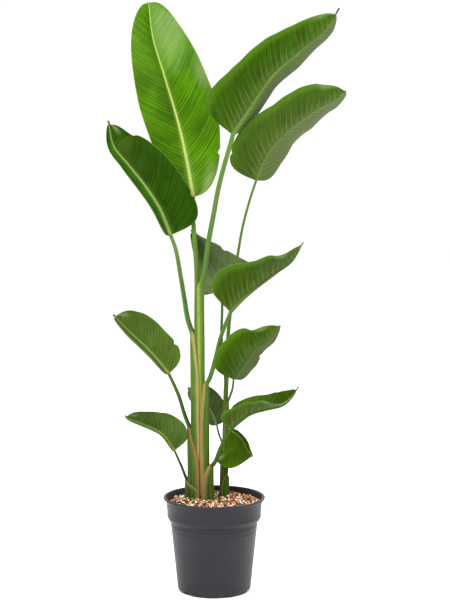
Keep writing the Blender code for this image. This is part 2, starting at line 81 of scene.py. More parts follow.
# Dimensions of the soil, and of the bed that shows between its chips
SOIL_HEIGHT = 0.214
SOIL_TOP_RADIUS = 0.1115
SOIL_RELIEF = 0.0028
SOIL_EDGE_DIP = 0.003
CHIP_WAVES = ((230, 70), (-90, 210), (410, -330))
BED_RINGS = 36
BED_DEPTH = 0.03
BED_SINK = 0.003
BED_SLOPE = 0.11

# Loose chips: how many forms of each kind, the scattered points of a form, how far out they lie and its half
# sizes, then how a chip leans and is lifted, and how far it keeps from the pot's wall and from a shoot, of
# which the shares are of its length
CHIP_FORMS = 14
CHIP_POINTS = 13
CHIP_REACH = (0.75, 1.0)
CHIP_HALVES = (0.5, 0.36, 0.5)
CHIP_LEAN = 0.45
CHIP_LIFT = (-0.001, 0.0025)
WALL_SHARE = 0.15
WALL_ROOM = 0.0045
SHOOT_SHARE = 0.4

# Dimensions of the leaves
BLADE_THICKNESS = 0.001
MARGIN_THICKNESS = 0.0006
GAP = 0.0003
SHEATH_THICKNESS = 0.0016
TIP_HALF_WIDTH = 0.0022
RIB_SHARE = 0.8
RIB_END = 0.0009
RIB_POWER = 0.7
RIB_COLUMNS = 5
RIB_GROOVE = 0.0006
FACE_STEP = 0.0036
LEAST_COLUMNS = 8
END_CROWDING = 0.65
CURL_POWER = 1.5
WAVE_SHIFT = 1.7
VEIN_SLOPE = 0.6
VEIN_BEND = 2.2
PLEAT_LENGTH = 0.017
PLEAT_HEIGHT = 0.0002
PLEAT_POWER = 0.7
RUFFLE_LENGTH = 0.048
RUFFLE_POWER = 5
RUFFLE_SHIFT = 2
NICK_LENGTH = 0.004

# Values stored on a blade's points: where their side vein leaves the rib, the share of the way out to the
# margin, the distance from the rib's middle in its half widths, the share of the blade's length, and the
# half, which is 0 at the left and 1 at the right
MARKS = ("vein", "outward", "rib", "share", "half")

# How finely curves are drawn, and how a stalk is lofted
CURVE_STEPS = 24
CURVE_POINTS = 480
ARC_POINTS = 25
SHEATH_SWELL = 1.15
SHEATH_WRAP = 80
SHEATH_TURN = 20
WRAP_RISE = 0.12
RISE_SHARE = 0.6
WRAP_RINGS = 26
WRAP_EASE = 2
WRAP_LIMIT = 0.95
SHEATH_RINGS = 12
MARGIN_TAPER = 0.75
MARGIN_POWER = 6
STEM_STEPS = 240
STEM_SHARES = np.linspace(0.07, 0.97, 26)
STEM_TURNING = (0.15, 0.9)
STEM_THINNING = 0.2
BULGE_FADE = 1.5
RING_STEP = 0.005
KEEL_END = 0.93
KEEL_DEPTH = 0.8
KEEL_POWER = 0.8
KEEL_END_DEPTH = 0.001
FACE_GROOVE = 0.12
HOLE_FLOOR = 0.165
STALK_SHARP = 60

FRONT = np.array([0.0, -1.0, 0.0])
UP = np.array([0.0, 0.0, 1.0])


# A shoot's axis runs up its middle. Its fan is turned this many degrees from +X, and its core is the
# half width of the youngest leaf's stalk.
Shoot = namedtuple("Shoot", "axis fan core")

# A leaf's petiole has a half width and a depth. The stem's points lead from the sheath's top to the blade,
# and the rib's points from the blade's base to its tip. Pairs are of the left and the right half, seen from
# the leaf's upper side with its tip up, and pairs of angles are at the base and at the tip, in degrees.
# Each half has a half width, a skew that moves its widest place to the base when under 1, two powers that
# fill it out at the base and at the tip, and a taper. The tip is the share of the blade in its drip tip.
# A wave has a height, a count and a phase.
Leaf = namedtuple("Leaf", "name shoot side sheath_top petiole stem rib halves tip turn fold curl wave")

SHOOTS = {
    "main": Shoot(axis=[(-0.0375, 0.030, 0.165), (-0.0415, 0.030, 0.770)], fan=30, core=0.0070),
    "second": Shoot(axis=[(0.0225, 0.055, 0.165), (0.0335, 0.050, 0.620)], fan=60, core=0.0044),
}

# Leaves of each shoot from the youngest to the oldest
LEAVES = [
    Leaf(
        name="crown_leaf", shoot="main", side=0, sheath_top=0.770, petiole=(0.0060, 0.0060),
        stem=[(-0.047, 0.033, 0.850), (-0.051, 0.039, 0.900)],
        rib=[(-0.050, 0.048, 0.942), (-0.065, 0.074, 1.025), (-0.087, 0.098, 1.120), (-0.120, 0.123, 1.230),
             (-0.149, 0.147, 1.325), (-0.161, 0.170, 1.412)],
        halves=((0.084, 1.0, 1.5, 1.8, 0), (0.11, 0.88, 1.4, 2.4, 0)), tip=0.004, turn=(0, 0),
        fold=((-20, 45), (-5, 35)), curl=(0, 12), wave=(0.003, 3.0, 1.0),
    ),
    Leaf(
        name="upper_right_leaf", shoot="main", side=1, sheath_top=0.725, petiole=(0.0064, 0.0105),
        stem=[(-0.0245, 0.015, 0.772), (-0.0165, 0.008, 0.834), (-0.006, 0.000, 0.889),
              (0.012, -0.013, 0.980)],
        rib=[(0.043, -0.040, 1.090), (0.081, -0.060, 1.146), (0.133, -0.090, 1.220), (0.196, -0.120, 1.275),
             (0.255, -0.145, 1.325), (0.281, -0.150, 1.366)],
        halves=((0.07, 0.95, 1.5, 4.0, 0), (0.078, 0.8, 5.0, 8.0, 0.75)), tip=0.045, turn=(-130, -130),
        fold=((-5, 15), (50, 5)), curl=(30, 25), wave=(0.003, 2.5, 3.0),
    ),
    Leaf(
        name="upper_left_leaf", shoot="main", side=-1, sheath_top=0.612, petiole=(0.0056, 0.0105),
        stem=[(-0.060, 0.030, 0.650), (-0.069, 0.025, 0.700), (-0.079, 0.021, 0.757),
              (-0.090, 0.020, 0.815)],
        rib=[(-0.103, 0.022, 0.852), (-0.129, 0.030, 0.915), (-0.165, 0.040, 0.970), (-0.206, 0.055, 1.020),
             (-0.241, 0.070, 1.064), (-0.254, 0.080, 1.123)],
        halves=((0.048, 0.6, 2.5, 2.0, 0), (0.083, 0.68, 4.0, 2.2, 0)), tip=0.03, turn=(15, 20),
        fold=((45, 25), (10, 15)), curl=(60, 15), wave=(0.002, 2.5, 4.0),
    ),
    Leaf(
        name="mid_right_leaf", shoot="main", side=1, sheath_top=0.494, petiole=(0.0050, 0.0095),
        stem=[(-0.012, 0.014, 0.515), (0.001, 0.005, 0.560), (0.015, -0.005, 0.616)],
        rib=[(0.038, -0.020, 0.675), (0.061, -0.030, 0.700), (0.094, -0.045, 0.730), (0.144, -0.070, 0.769),
             (0.181, -0.085, 0.798), (0.206, -0.100, 0.842)],
        halves=((0.06, 0.58, 3.2, 2.6, 0), (0.095, 0.5, 1.0, 1.8, 0)), tip=0.04, turn=(-130, -130),
        fold=((35, 35), (50, -15)), curl=(40, 20), wave=(0.003, 2.0, 2.0),
    ),
    Leaf(
        name="mid_left_leaf", shoot="main", side=-1, sheath_top=0.384, petiole=(0.0046, 0.0090),
        stem=[(-0.0706, 0.037, 0.422), (-0.079, 0.036, 0.449), (-0.089, 0.035, 0.476)],
        rib=[(-0.109, 0.035, 0.518), (-0.140, 0.045, 0.555), (-0.172, 0.055, 0.587), (-0.207, 0.070, 0.617),
             (-0.246, 0.085, 0.655)],
        halves=((0.052, 0.85, 2.6, 3.6, 0), (0.062, 0.8, 3.0, 3.4, 0)), tip=0.04, turn=(25, 25),
        fold=((45, 45), (25, 25)), curl=(50, 25), wave=(0.003, 2.0, 5.0),
    ),
    Leaf(
        name="low_right_leaf", shoot="main", side=1, sheath_top=0.297, petiole=(0.0050, 0.0095),
        stem=[(0.001, 0.006, 0.313), (0.012, -0.003, 0.345), (0.025, -0.015, 0.373)],
        rib=[(0.038, -0.025, 0.396), (0.054, -0.028, 0.411), (0.085, -0.036, 0.434), (0.120, -0.050, 0.446),
             (0.159, -0.070, 0.458), (0.182, -0.085, 0.480), (0.197, -0.095, 0.506)],
        halves=((0.04, 0.55, 2.4, 2.6, 0), (0.048, 0.55, 2.4, 2.6, 0)), tip=0.05, turn=(-110, -105),
        fold=((60, 85), (60, -5)), curl=(10, 10), wave=(0.003, 1.5, 0.5),
    ),
    Leaf(
        name="low_left_leaf", shoot="main", side=-1, sheath_top=0.256, petiole=(0.0034, 0.0065),
        stem=[(-0.0705, 0.038, 0.272), (-0.077, 0.037, 0.288), (-0.085, 0.036, 0.306)],
        rib=[(-0.096, 0.036, 0.330), (-0.122, 0.045, 0.366), (-0.146, 0.055, 0.380), (-0.175, 0.062, 0.391),
             (-0.203, 0.070, 0.400), (-0.218, 0.080, 0.407)],
        halves=((0.04, 0.72, 2.6, 3.0, 0), (0.056, 0.5, 1.4, 1.1, 0)), tip=0.04, turn=(20, 20),
        fold=((60, 60), (20, 20)), curl=(40, 25), wave=(0.003, 1.5, 3.5),
    ),
    Leaf(
        name="right_leaf", shoot="second", side=0, sheath_top=0.620, petiole=(0.0046, 0.0046),
        stem=[(0.049, 0.043, 0.755), (0.065, 0.037, 0.860), (0.084, 0.030, 0.935)],
        rib=[(0.099, 0.025, 0.982), (0.123, 0.010, 1.037), (0.159, -0.010, 1.085), (0.228, -0.035, 1.140),
             (0.275, -0.050, 1.165), (0.304, -0.060, 1.187)],
        halves=((0.075, 0.8, 2.8, 4.0, 0), (0.08, 0.8, 3.0, 8.0, 0.55)), tip=0.008, turn=(-125, -125),
        fold=((-25, 12), (28, 10)), curl=(25, 35), wave=(0.003, 2.5, 1.5),
    ),
    Leaf(
        name="centre_leaf", shoot="second", side=-1, sheath_top=0.495, petiole=(0.0036, 0.0045),
        stem=[(0.018, 0.070, 0.595), (0.019, 0.078, 0.663)],
        rib=[(0.019, 0.085, 0.715), (0.004, 0.105, 0.746), (-0.015, 0.135, 0.785), (-0.036, 0.160, 0.823),
             (-0.058, 0.185, 0.856)],
        halves=((0.056, 0.36, 2.2, 1.8, 0), (0.092, 0.3, 2.4, 1.1, 0)), tip=0.04, turn=(5, 5),
        fold=((0, 50), (-25, 85)), curl=(30, 10), wave=(0.006, 2.0, 5.5),
    ),
    Leaf(
        name="lower_right_leaf", shoot="second", side=1, sheath_top=0.445, petiole=(0.0032, 0.0042),
        stem=[(0.043, 0.041, 0.478)],
        rib=[(0.046, 0.032, 0.505), (0.072, 0.016, 0.544), (0.098, 0.002, 0.582), (0.126, -0.014, 0.603),
             (0.156, -0.028, 0.641)],
        halves=((0.034, 0.5, 1.6, 1.1, 0), (0.082, 0.64, 1.7, 1.4, 0)), tip=0.02, turn=(-140, -140),
        fold=((0, 0), (5, 5)), curl=(0, 25), wave=(0.003, 2.0, 0.0),
    ),
    Leaf(
        name="small_left_leaf", shoot="second", side=-1, sheath_top=0.340, petiole=(0.0028, 0.0036),
        stem=[(0.011, 0.078, 0.363)],
        rib=[(0.006, 0.082, 0.384), (-0.004, 0.090, 0.410), (-0.028, 0.098, 0.444), (-0.066, 0.108, 0.472)],
        halves=((0.036, 0.8, 2.4, 2.6, 0), (0.04, 0.8, 2.4, 2.6, 0)), tip=0.04, turn=(15, 15),
        fold=((25, 25), (20, 20)), curl=(30, 25), wave=(0.002, 1.5, 2.5),
    ),
    Leaf(
        name="small_right_leaf", shoot="second", side=1, sheath_top=0.268, petiole=(0.0028, 0.0036),
        stem=[(0.033, 0.040, 0.300), (0.037, 0.039, 0.340)],
        rib=[(0.042, 0.040, 0.378), (0.056, 0.032, 0.370), (0.069, 0.024, 0.356), (0.080, 0.017, 0.336),
             (0.093, 0.010, 0.321)],
        halves=((0.028, 0.95, 2.4, 2.8, 0), (0.08, 0.95, 2.4, 2.8, 0)), tip=0.03, turn=(0, 0),
        fold=((60, 60), (-5, -5)), curl=(20, 20), wave=(0.004, 1.5, 4.5),
    ),
]


# How a leaf looks, in screen colours from 0 to 255. Deep and light are the two greens of its upper face,
# under and bloom those of its lower one, where bloom is the pale grey-green of its side veins, of its powdery
# bloom and of the painted sheen below, and wing is the papery edge of its sheath. Tones are how light its left
# half, right half, base and tip are; the two halves' tones are painted light and shade, as one half is lit
# and the other shaded. A ruffle is the height of the small folds along the margin. Haze is painted sheen:
# how much pale grey reflection its two halves have below. A spot is a painted highlight, a pale glossy
# place: a half, a share of the blade's length and one of its width, and a size. A nick is a half, a share of
# the blade's length and a depth.
LOOK_FIELDS = "deep light rib under bloom stalk wing tones ruffle haze spots nicks"
Look = namedtuple("Look", LOOK_FIELDS, defaults=((0.3, 0.3), (), ()))

LOOKS = {
    "crown_leaf": Look(
        deep=(60, 118, 4), light=(110, 172, 20), rib=(216, 236, 128), under=(92, 138, 30),
        bloom=(150, 172, 112), stalk=(110, 154, 58), wing=(150, 170, 80),
        tones=(0.82, 1.12, 0.78, 1.28), ruffle=0.0009, haze=(0.2, 0.2), nicks=[(1, 0.18, 0.006)],
        spots=[(1, 0.84, 0.75, 0.9), (1, 0.82, 0.40, 1.6), (1, 0.05, 0.75, 0.8), (1, 0.55, 0.95, 0.7)],
    ),
    "upper_right_leaf": Look(
        deep=(56, 108, 6), light=(84, 138, 18), rib=(112, 160, 58), under=(66, 118, 6),
        bloom=(140, 158, 88), stalk=(112, 152, 70), wing=(182, 196, 88),
        tones=(1.0, 1.0, 0.88, 1.12), ruffle=0.0005, haze=(0.60, 0.0), spots=[(1, 0.92, 0.86, 0.7)],
        nicks=[(1, 0.10, 0.004)],
    ),
    "upper_left_leaf": Look(
        deep=(32, 76, 4), light=(56, 106, 12), rib=(156, 192, 96), under=(84, 128, 30),
        bloom=(140, 160, 100), stalk=(112, 154, 72), wing=(205, 188, 112),
        tones=(1.5, 0.86, 1.0, 1.0), ruffle=0.0005, spots=[(1, 0.96, 0.5, 0.6)], nicks=[(1, 0.20, 0.005)],
    ),
    "mid_right_leaf": Look(
        deep=(60, 100, 6), light=(84, 126, 16), rib=(168, 180, 132), under=(74, 112, 8),
        bloom=(140, 154, 92), stalk=(108, 146, 66), wing=(196, 172, 100),
        tones=(1.0, 1.0, 1.1, 1.1), ruffle=0.0006, haze=(0.4, 0.0), spots=[(1, 0.80, 0.85, 0.6)],
    ),
    "mid_left_leaf": Look(
        deep=(70, 98, 34), light=(94, 122, 48), rib=(160, 184, 84), under=(88, 120, 34),
        bloom=(138, 150, 96), stalk=(110, 146, 70), wing=(184, 142, 88),
        tones=(1.15, 1.3, 1.15, 0.95), ruffle=0.0008, spots=[(1, 0.92, 0.6, 0.6)], nicks=[(1, 0.22, 0.006)],
    ),
    "low_right_leaf": Look(
        deep=(60, 100, 12), light=(90, 128, 28), rib=(164, 182, 104), under=(84, 118, 14),
        bloom=(146, 158, 104), stalk=(106, 142, 66), wing=(198, 156, 104),
        tones=(1.1, 1.1, 1.0, 1.0), ruffle=0.0008, haze=(0.3, 0.05), spots=[(1, 0.60, 0.85, 0.5)],
    ),
    "low_left_leaf": Look(
        deep=(74, 102, 40), light=(98, 126, 54), rib=(150, 178, 86), under=(84, 118, 32),
        bloom=(136, 150, 92), stalk=(112, 140, 72), wing=(168, 156, 82),
        tones=(1.5, 1.3, 1.0, 1.05), ruffle=0.0012, spots=[(1, 0.85, 0.6, 0.6)],
    ),
    "right_leaf": Look(
        deep=(60, 112, 12), light=(88, 140, 26), rib=(128, 168, 72), under=(80, 128, 14),
        bloom=(146, 162, 96), stalk=(112, 152, 72), wing=(160, 170, 80),
        tones=(0.9, 0.95, 0.95, 1.1), ruffle=0.0006, haze=(0.62, 0.10), spots=[(1, 0.90, 0.90, 0.6)],
        nicks=[(1, 0.14, 0.005)],
    ),
    "centre_leaf": Look(
        deep=(94, 116, 66), light=(126, 144, 92), rib=(146, 164, 104), under=(104, 128, 76),
        bloom=(136, 148, 108), stalk=(96, 132, 60), wing=(150, 150, 90),
        tones=(1.55, 1.45, 0.72, 1.45), ruffle=0.0012, haze=(0.4, 0.4), nicks=[(1, 0.40, 0.006)],
    ),
    "lower_right_leaf": Look(
        deep=(64, 106, 8), light=(88, 132, 16), rib=(150, 174, 86), under=(72, 116, 6),
        bloom=(128, 144, 88), stalk=(104, 142, 60), wing=(160, 150, 80),
        tones=(1.0, 1.1, 1.0, 1.2), ruffle=0.0008, haze=(0.85, 0.0), spots=[(1, 0.85, 0.85, 0.6)],
        nicks=[(0, 0.45, 0.005)],
    ),
    "small_left_leaf": Look(
        deep=(76, 100, 46), light=(116, 136, 86), rib=(170, 180, 120), under=(104, 128, 76),
        bloom=(140, 150, 110), stalk=(84, 110, 46), wing=(140, 140, 84),
        tones=(1.2, 1.2, 1.0, 1.0), ruffle=0.0008,
    ),
    "small_right_leaf": Look(
        deep=(64, 106, 8), light=(84, 128, 14), rib=(140, 168, 68), under=(78, 122, 8),
        bloom=(124, 146, 80), stalk=(96, 134, 52), wing=(170, 178, 96),
        tones=(0.9, 0.9, 1.0, 1.0), ruffle=0.0010, haze=(0.3, 0.0), spots=[(1, 0.60, 0.88, 0.5)],
        nicks=[(1, 0.55, 0.006)],
    ),
}

# A leaf's share of its colour under the studio's light, the light that shines through it, and its gloss
LEAF_SHARE = 0.54
LIGHT_THROUGH = 0.12
LEAF_GLOSS = {"Specular IOR Level": 0.13, "Specular Tint": (0.9, 1.0, 0.2)}

# From smooth to rough places: the roughness of upper faces, lower faces, stalks and the pot's plastic
UPPER_ROUGHNESS = (0.30, 0.48)
UNDER_ROUGHNESS = (0.42, 0.58)
STALK_ROUGHNESS = (0.36, 0.56)
PLASTIC_ROUGHNESS = (0.34, 0.52)

# Further colours: pale spots that are painted highlights, the painted highlight along a blade's rim below, its
# dried tip, and a stem's foot and sheath edges
HIGHLIGHT_PALE = (188, 212, 140)
EDGE_HIGHLIGHT_GREEN = (122, 184, 44)
DRIED = (88, 66, 36)
FOOT_GREEN = (62, 122, 20)
FOOT_BROWN = (80, 62, 42)
EDGE_BROWN = (150, 98, 64)
FRECKLE = (120, 66, 44)

# Where the pale margin begins and is full on the way out, how much of the drip tip is left where it begins
# to be dried and where it is fully dried, and the tones of a blade's broad soft patches
MARGIN_EDGE = (0.965, 0.998)
DRIED_START = 0.75
DRIED_END = 0.2
CLOUD_TONES = (0.72, 1.3)

# Spacing of the side veins, of the finer ones between them and of the pale ones below, and how far they stray
VEIN_SPACING = 0.0096
FINE_SPACING = 0.0048
UNDER_SPACING = 0.0150
VEIN_WANDER = 8.0

# Streaks along the veins from fine to broad: how many to a metre, and their detail
STREAKS = ((420, 2.0), (110, 3.0), (26, 2.0))

# How far a share of the blade's length, one of its width and its other half count in the size of a pale spot,
# which is a painted highlight, and the share of a spot that is evenly pale
HIGHLIGHT_STRETCH = {"share": 6.0, "outward": 2.0, "half": 4.0}
HIGHLIGHT_CORE = 0.1

# How far the side veins and the middle streaks count in an upper face's tone; the rest is fine streaks
VEIN_TONE = 0.13
STREAK_TONE = 0.55

# Lines and brown streaks on a stalk: how many across it, and to a metre of its length; then how strong the
# brown is, and how far the sheath's edge and the foot's end stray
STALK_LINES = (46, 5)
STALK_STREAKS = (11, 3)
FOOT_AMOUNT = 0.85
EDGE_STRAY = 0.10
FOOT_STRAY = 0.16

# Colours and gloss of the pot's plastic, the scale of its turned lines and of its scuffs, and how far its
# grain and its turned lines stand out
PLASTIC = (24, 25, 29)
PLASTIC_LIGHT = 1.18
PLASTIC_GLOSS = {"Specular IOR Level": 0.3}
SCUFF = (52, 48, 45)
TURNED_LINES = 300
SCUFF_LINES = (30, 30, 260)
GRAIN_RELIEF = 0.35
TURNED_RELIEF = 0.4

# Colours of the soil's bed, how fine a chip's grain is along each of its axes, and the kinds of chips: two
# colours, how many, their length, how flat they are, and a seed
BED_DARK = (30, 15, 9)
BED_LIGHT = (92, 54, 32)
CHIP_GRAIN = (1, 1, 3)
Chips = namedtuple("Chips", "name light dark count length flatness seed")
CHIPS = [
    Chips("bark_dark", (70, 38, 22), (34, 17, 10), 420, (0.006, 0.013), 0.45, 3),
    Chips("bark_red", (152, 84, 42), (84, 40, 18), 500, (0.007, 0.015), 0.40, 5),
    Chips("bark_tan", (212, 148, 88), (140, 86, 44), 520, (0.006, 0.013), 0.45, 7),
    Chips("chips_cream", (252, 240, 218), (222, 200, 166), 700, (0.005, 0.0095), 0.60, 11),
]


def unit(vectors):
    """Vectors scaled to length one."""
    vectors = np.asarray(vectors, float)
    return vectors / np.linalg.norm(vectors, axis=-1, keepdims=True)


def smooth_curve(points):
    """A Catmull-Rom curve through the points, with its points evenly spaced."""
    points = np.asarray(points, float)
    ends = [2 * points[0] - points[1], *points, 2 * points[-1] - points[-2]]
    steps = np.linspace(0, 1, CURVE_STEPS, endpoint=False)[:, None]
    curve = []
    for a, b, c, d in zip(ends, ends[1:], ends[2:], ends[3:]):
        curve.append(
            0.5 * (2 * b + (c - a) * steps + (2 * a - 5 * b + 4 * c - d) * steps**2
                   + (3 * b - a - 3 * c + d) * steps**3)
        )
    curve = np.vstack([*curve, points[-1:]])
    return resample(curve, np.linspace(0, 1, CURVE_POINTS))


def resample(curve, shares):
    """Points at these shares of a polyline's length."""
    lengths = np.r_[0, np.cumsum(np.linalg.norm(np.diff(curve, axis=0), axis=1))]
    shares = np.asarray(shares) * lengths[-1]
    return np.stack([np.interp(shares, lengths, curve[:, axis]) for axis in range(3)], -1)


def leaf_frames(curve, turns):
    """Side and upper normal along a curve; a turn of 0 faces the front and 90 faces +X."""
    tangent = unit(np.gradient(curve, axis=0))
    facing = unit(FRONT - (tangent @ FRONT)[:, None] * tangent)
    across = np.cross(tangent, facing)
    turns = np.radians(turns)[:, None]
    normal = np.sin(turns) * across + np.cos(turns) * facing
    return np.cross(tangent, normal), normal


def rib_half_width(leaf, share):
    """Half width of the pale rib's channel at a share of the blade's length."""
    base = leaf.petiole[0] * RIB_SHARE
    return base + (RIB_END - base) * np.asarray(share) ** RIB_POWER


def blade_half_width(leaf, side, share):
    """Half width of the blade on one side: an oval with nicks in its margin, ending in a drip tip."""
    width, skew, base, point, taper = leaf.halves[side]
    inner = np.clip(np.asarray(share) / (1 - leaf.tip), 0, 1)
    width = width * (1 + taper * (0.5 - inner))
    inner = inner**skew
    power = np.where(inner < 0.5, base, point)
    oval = np.sqrt(np.clip(1 - np.abs(2 * inner - 1) ** power, 0, 1))
    width = np.maximum(width * oval, TIP_HALF_WIDTH)
    length = rib_length(leaf)
    for half, place, depth in LOOKS[leaf.name].nicks:
        if half == side:
            width = width - depth * np.exp(-((share - place) * length / NICK_LENGTH) ** 2)
    return width


def blade_stations(count):
    """Shares of the blade's length, closer together near its two ends."""
    even = np.linspace(0, 1, count)
    return (1 - END_CROWDING) * even + END_CROWDING * (1 - np.cos(math.pi * even)) / 2


def rib_length(leaf):
    """Length of a blade along its rib."""
    return np.linalg.norm(np.diff(smooth_curve(leaf.rib), axis=0), axis=1).sum()


def rib_frames(leaf):
    """Shares of a blade's length, and its rib's points, sides and upper normals at each."""
    shares = blade_stations(round(rib_length(leaf) / FACE_STEP) + 1)
    rib = resample(smooth_curve(leaf.rib), shares)
    return shares, rib, *leaf_frames(rib, np.linspace(*leaf.turn, len(rib)))


def blade_half(leaf, side):
    """Columns of one half of the blade from the rib's channel to the margin, with their marks."""
    shares, rib, sideways, normal = rib_frames(leaf)
    across = max(LEAST_COLUMNS, round(leaf.halves[side][0] / FACE_STEP))
    sideways = sideways * (-1, 1)[side]
    outward = np.linspace(0, 1, across + 1)
    middles = (outward[1:] + outward[:-1]) / 2
    fold = np.interp(np.sqrt(shares), (0, 1), leaf.fold[side])[:, None]
    angles = np.radians(fold + leaf.curl[side] * middles**CURL_POWER)
    width = blade_half_width(leaf, side, shares)
    step = (width / across)[:, None]
    start = np.zeros((len(rib), 1))
    run = np.hstack([start, np.cumsum(step * np.cos(angles), axis=1)])
    rise = np.hstack([start, np.cumsum(step * np.sin(angles), axis=1)])

    height, count, phase = leaf.wave
    ripple = np.sin(2 * math.pi * count * shares + WAVE_SHIFT * side + phase) * np.sin(math.pi * shares)
    rise = rise + height * ripple[:, None] * outward**2
    away = width[:, None] * outward
    vein = (shares * rib_length(leaf))[:, None] - VEIN_SLOPE * away - VEIN_BEND * away**2
    ends = np.sin(math.pi * shares)[:, None] ** 0.5
    pleats = np.sin(2 * math.pi * vein / PLEAT_LENGTH) * ends * np.sin(math.pi * outward) ** PLEAT_POWER
    rise = rise + PLEAT_HEIGHT * pleats
    folds = np.sin(2 * math.pi * vein / RUFFLE_LENGTH + phase + RUFFLE_SHIFT * side)
    rise = rise + LOOKS[leaf.name].ruffle * folds * ends * outward**RUFFLE_POWER

    half_rib = rib_half_width(leaf, shares)[:, None]
    points = rib[:, None, :] + (run + half_rib)[..., None] * sideways[:, None, :]
    points = points + rise[..., None] * normal[:, None, :]
    flat = 0 * away
    marks = [vein, outward + flat, 1 + away / half_rib, shares[:, None] + flat, side + flat]
    return np.concatenate([points, np.stack(marks, axis=-1)], axis=-1)


def rib_strip(leaf):
    """Columns across the rib's channel, between the two halves."""
    shares, rib, sideways, normal = rib_frames(leaf)
    across = np.linspace(-1, 1, RIB_COLUMNS + 2)[1:-1]
    half_rib = rib_half_width(leaf, shares)
    columns = []
    for place in across:
        drop = RIB_GROOVE * (1 - place**2) * half_rib / half_rib[0]
        points = rib + (place * half_rib)[:, None] * sideways - drop[:, None] * normal
        vein = shares * rib_length(leaf)
        marks = np.stack([vein, 0 * vein, abs(place) + 0 * vein, shares, (place + 1) / 2 + 0 * vein], axis=-1)
        columns.append(np.concatenate([points, marks], axis=-1))
    return np.stack(columns, axis=1)


def blade_surface(leaf):
    """The blade's middle surface as a grid: rows run from base to tip, and columns from left to right."""
    return np.concatenate([blade_half(leaf, 0)[:, ::-1], rib_strip(leaf), blade_half(leaf, 1)], axis=1)


def shoot_leaves(name):
    """The shoot's leaves from the youngest to the oldest."""
    return [leaf for leaf in LEAVES if leaf.shoot == name]


def fan_direction(shoot, side):
    """Horizontal direction in which the fan spreads on this side."""
    angle = math.radians(shoot.fan)
    return np.array([math.cos(angle), -math.sin(angle), 0.0]) * (side or 1)


def axis_point(shoot, height):
    """The shoot's axis at a height."""
    axis = np.asarray(shoot.axis)
    return np.array([np.interp(height, axis[:, 2], axis[:, column]) for column in (0, 1)] + [height])


def bundle_outline(shoot_name, layers, height):
    """Centre and half axes of the oval round the youngest leaf and this many sheaths."""
    shoot = SHOOTS[shoot_name]
    centre = axis_point(shoot, height)
    half_length = half_depth = shoot.core
    for leaf in shoot_leaves(shoot_name)[1:layers + 1]:
        thickness = leaf.petiole[1] * SHEATH_SWELL + GAP
        centre = centre + fan_direction(shoot, leaf.side) * thickness / 2
        half_length += thickness / 2
        half_depth += SHEATH_THICKNESS + GAP
    return centre, half_length, half_depth


def sheath_room(shoot_name, layers, height):
    """The same oval with a gap round it, widened so that a faceted sheath's flats clear it."""
    centre, length, depth = bundle_outline(shoot_name, layers, height)
    clear = math.cos(math.radians(SHEATH_WRAP) / (ARC_POINTS - 1))
    return centre, (length + GAP) / clear, (depth + GAP) / clear


def oval_points(oval, angles, out, side):
    """Points of an oval at these angles from the way that the fan spreads."""
    centre, length, depth = oval
    return centre + np.outer(length * np.cos(angles), out) + np.outer(depth * np.sin(angles), side)


def sheath_ring(leaf, layer, height, free):
    """One horizontal section of a sheath, thinning towards its margins and narrowing as it comes free."""
    out = fan_direction(SHOOTS[leaf.shoot], leaf.side)
    side = np.cross(UP, out)
    top_depth = sheath_room(leaf.shoot, layer - 1, leaf.sheath_top)[2]
    top_wrap = math.asin(min(WRAP_LIMIT, leaf.petiole[0] / top_depth))
    full_wrap = math.radians(SHEATH_WRAP)
    wrap = full_wrap + (top_wrap - full_wrap) * free
    places = np.linspace(-1, 1, ARC_POINTS)
    angles = math.radians(SHEATH_TURN) * (1 - free) + wrap * places
    outer = oval_points(bundle_outline(leaf.shoot, layer, height), angles, out, side)
    inner = oval_points(sheath_room(leaf.shoot, layer - 1, height), angles, out, side)
    thinning = MARGIN_TAPER * places[:, None] ** MARGIN_POWER
    outer = outer + (inner - outer) * thinning
    return np.vstack([outer, inner[::-1]])


def petiole_ring(centre, side, normal, half_width, depth, bulge):
    """One section of a petiole: its round back, then the channelled or bulging face over it."""
    angles = np.linspace(-math.pi / 2, math.pi / 2, ARC_POINTS)
    width = np.outer(half_width * np.sin(angles), side)
    back = centre - np.outer(depth * np.cos(angles), normal) - width
    face = centre + np.outer((bulge or -FACE_GROOVE * depth) * np.cos(angles), normal) - width
    return np.vstack([back, face[::-1]])


def core_rings(leaf):
    """Sections of the youngest leaf's stalk inside the sheaths, where it is round."""
    shoot = SHOOTS[leaf.shoot]
    angle = math.radians(leaf.turn[0])
    side = np.array([math.cos(angle), math.sin(angle), 0.0])
    normal = np.cross(side, UP)
    size = shoot.core
    heights = (HOLE_FLOOR + GAP, leaf.sheath_top - WRAP_RISE)
    return [petiole_ring(axis_point(shoot, height), side, normal, size, size, size) for height in heights]


def sheath_rings(leaf):
    """Sections of an older leaf's stalk from its foot in the soil to the top of its sheath."""
    layer = shoot_leaves(leaf.shoot).index(leaf)
    rise = min(WRAP_RISE, (leaf.sheath_top - SOIL_HEIGHT) * RISE_SHARE)
    heights = np.linspace(HOLE_FLOOR + GAP, leaf.sheath_top - rise, SHEATH_RINGS, endpoint=False)
    rings = [sheath_ring(leaf, layer, height, 0) for height in heights]
    for share in np.linspace(0, 1, WRAP_RINGS):
        rings.append(sheath_ring(leaf, layer, leaf.sheath_top - rise * (1 - share), share**WRAP_EASE))
    return rings


def stem_start(leaf):
    """Where the free petiole starts, and which way its upper face turns there."""
    layer = shoot_leaves(leaf.shoot).index(leaf)
    shoot = SHOOTS[leaf.shoot]
    if layer == 0:
        return axis_point(shoot, leaf.sheath_top), leaf.turn[0]
    out = fan_direction(shoot, leaf.side)
    centre, length, _ = sheath_room(leaf.shoot, layer - 1, leaf.sheath_top)
    return centre + out * length, math.degrees(math.atan2(-out[0], out[1]))


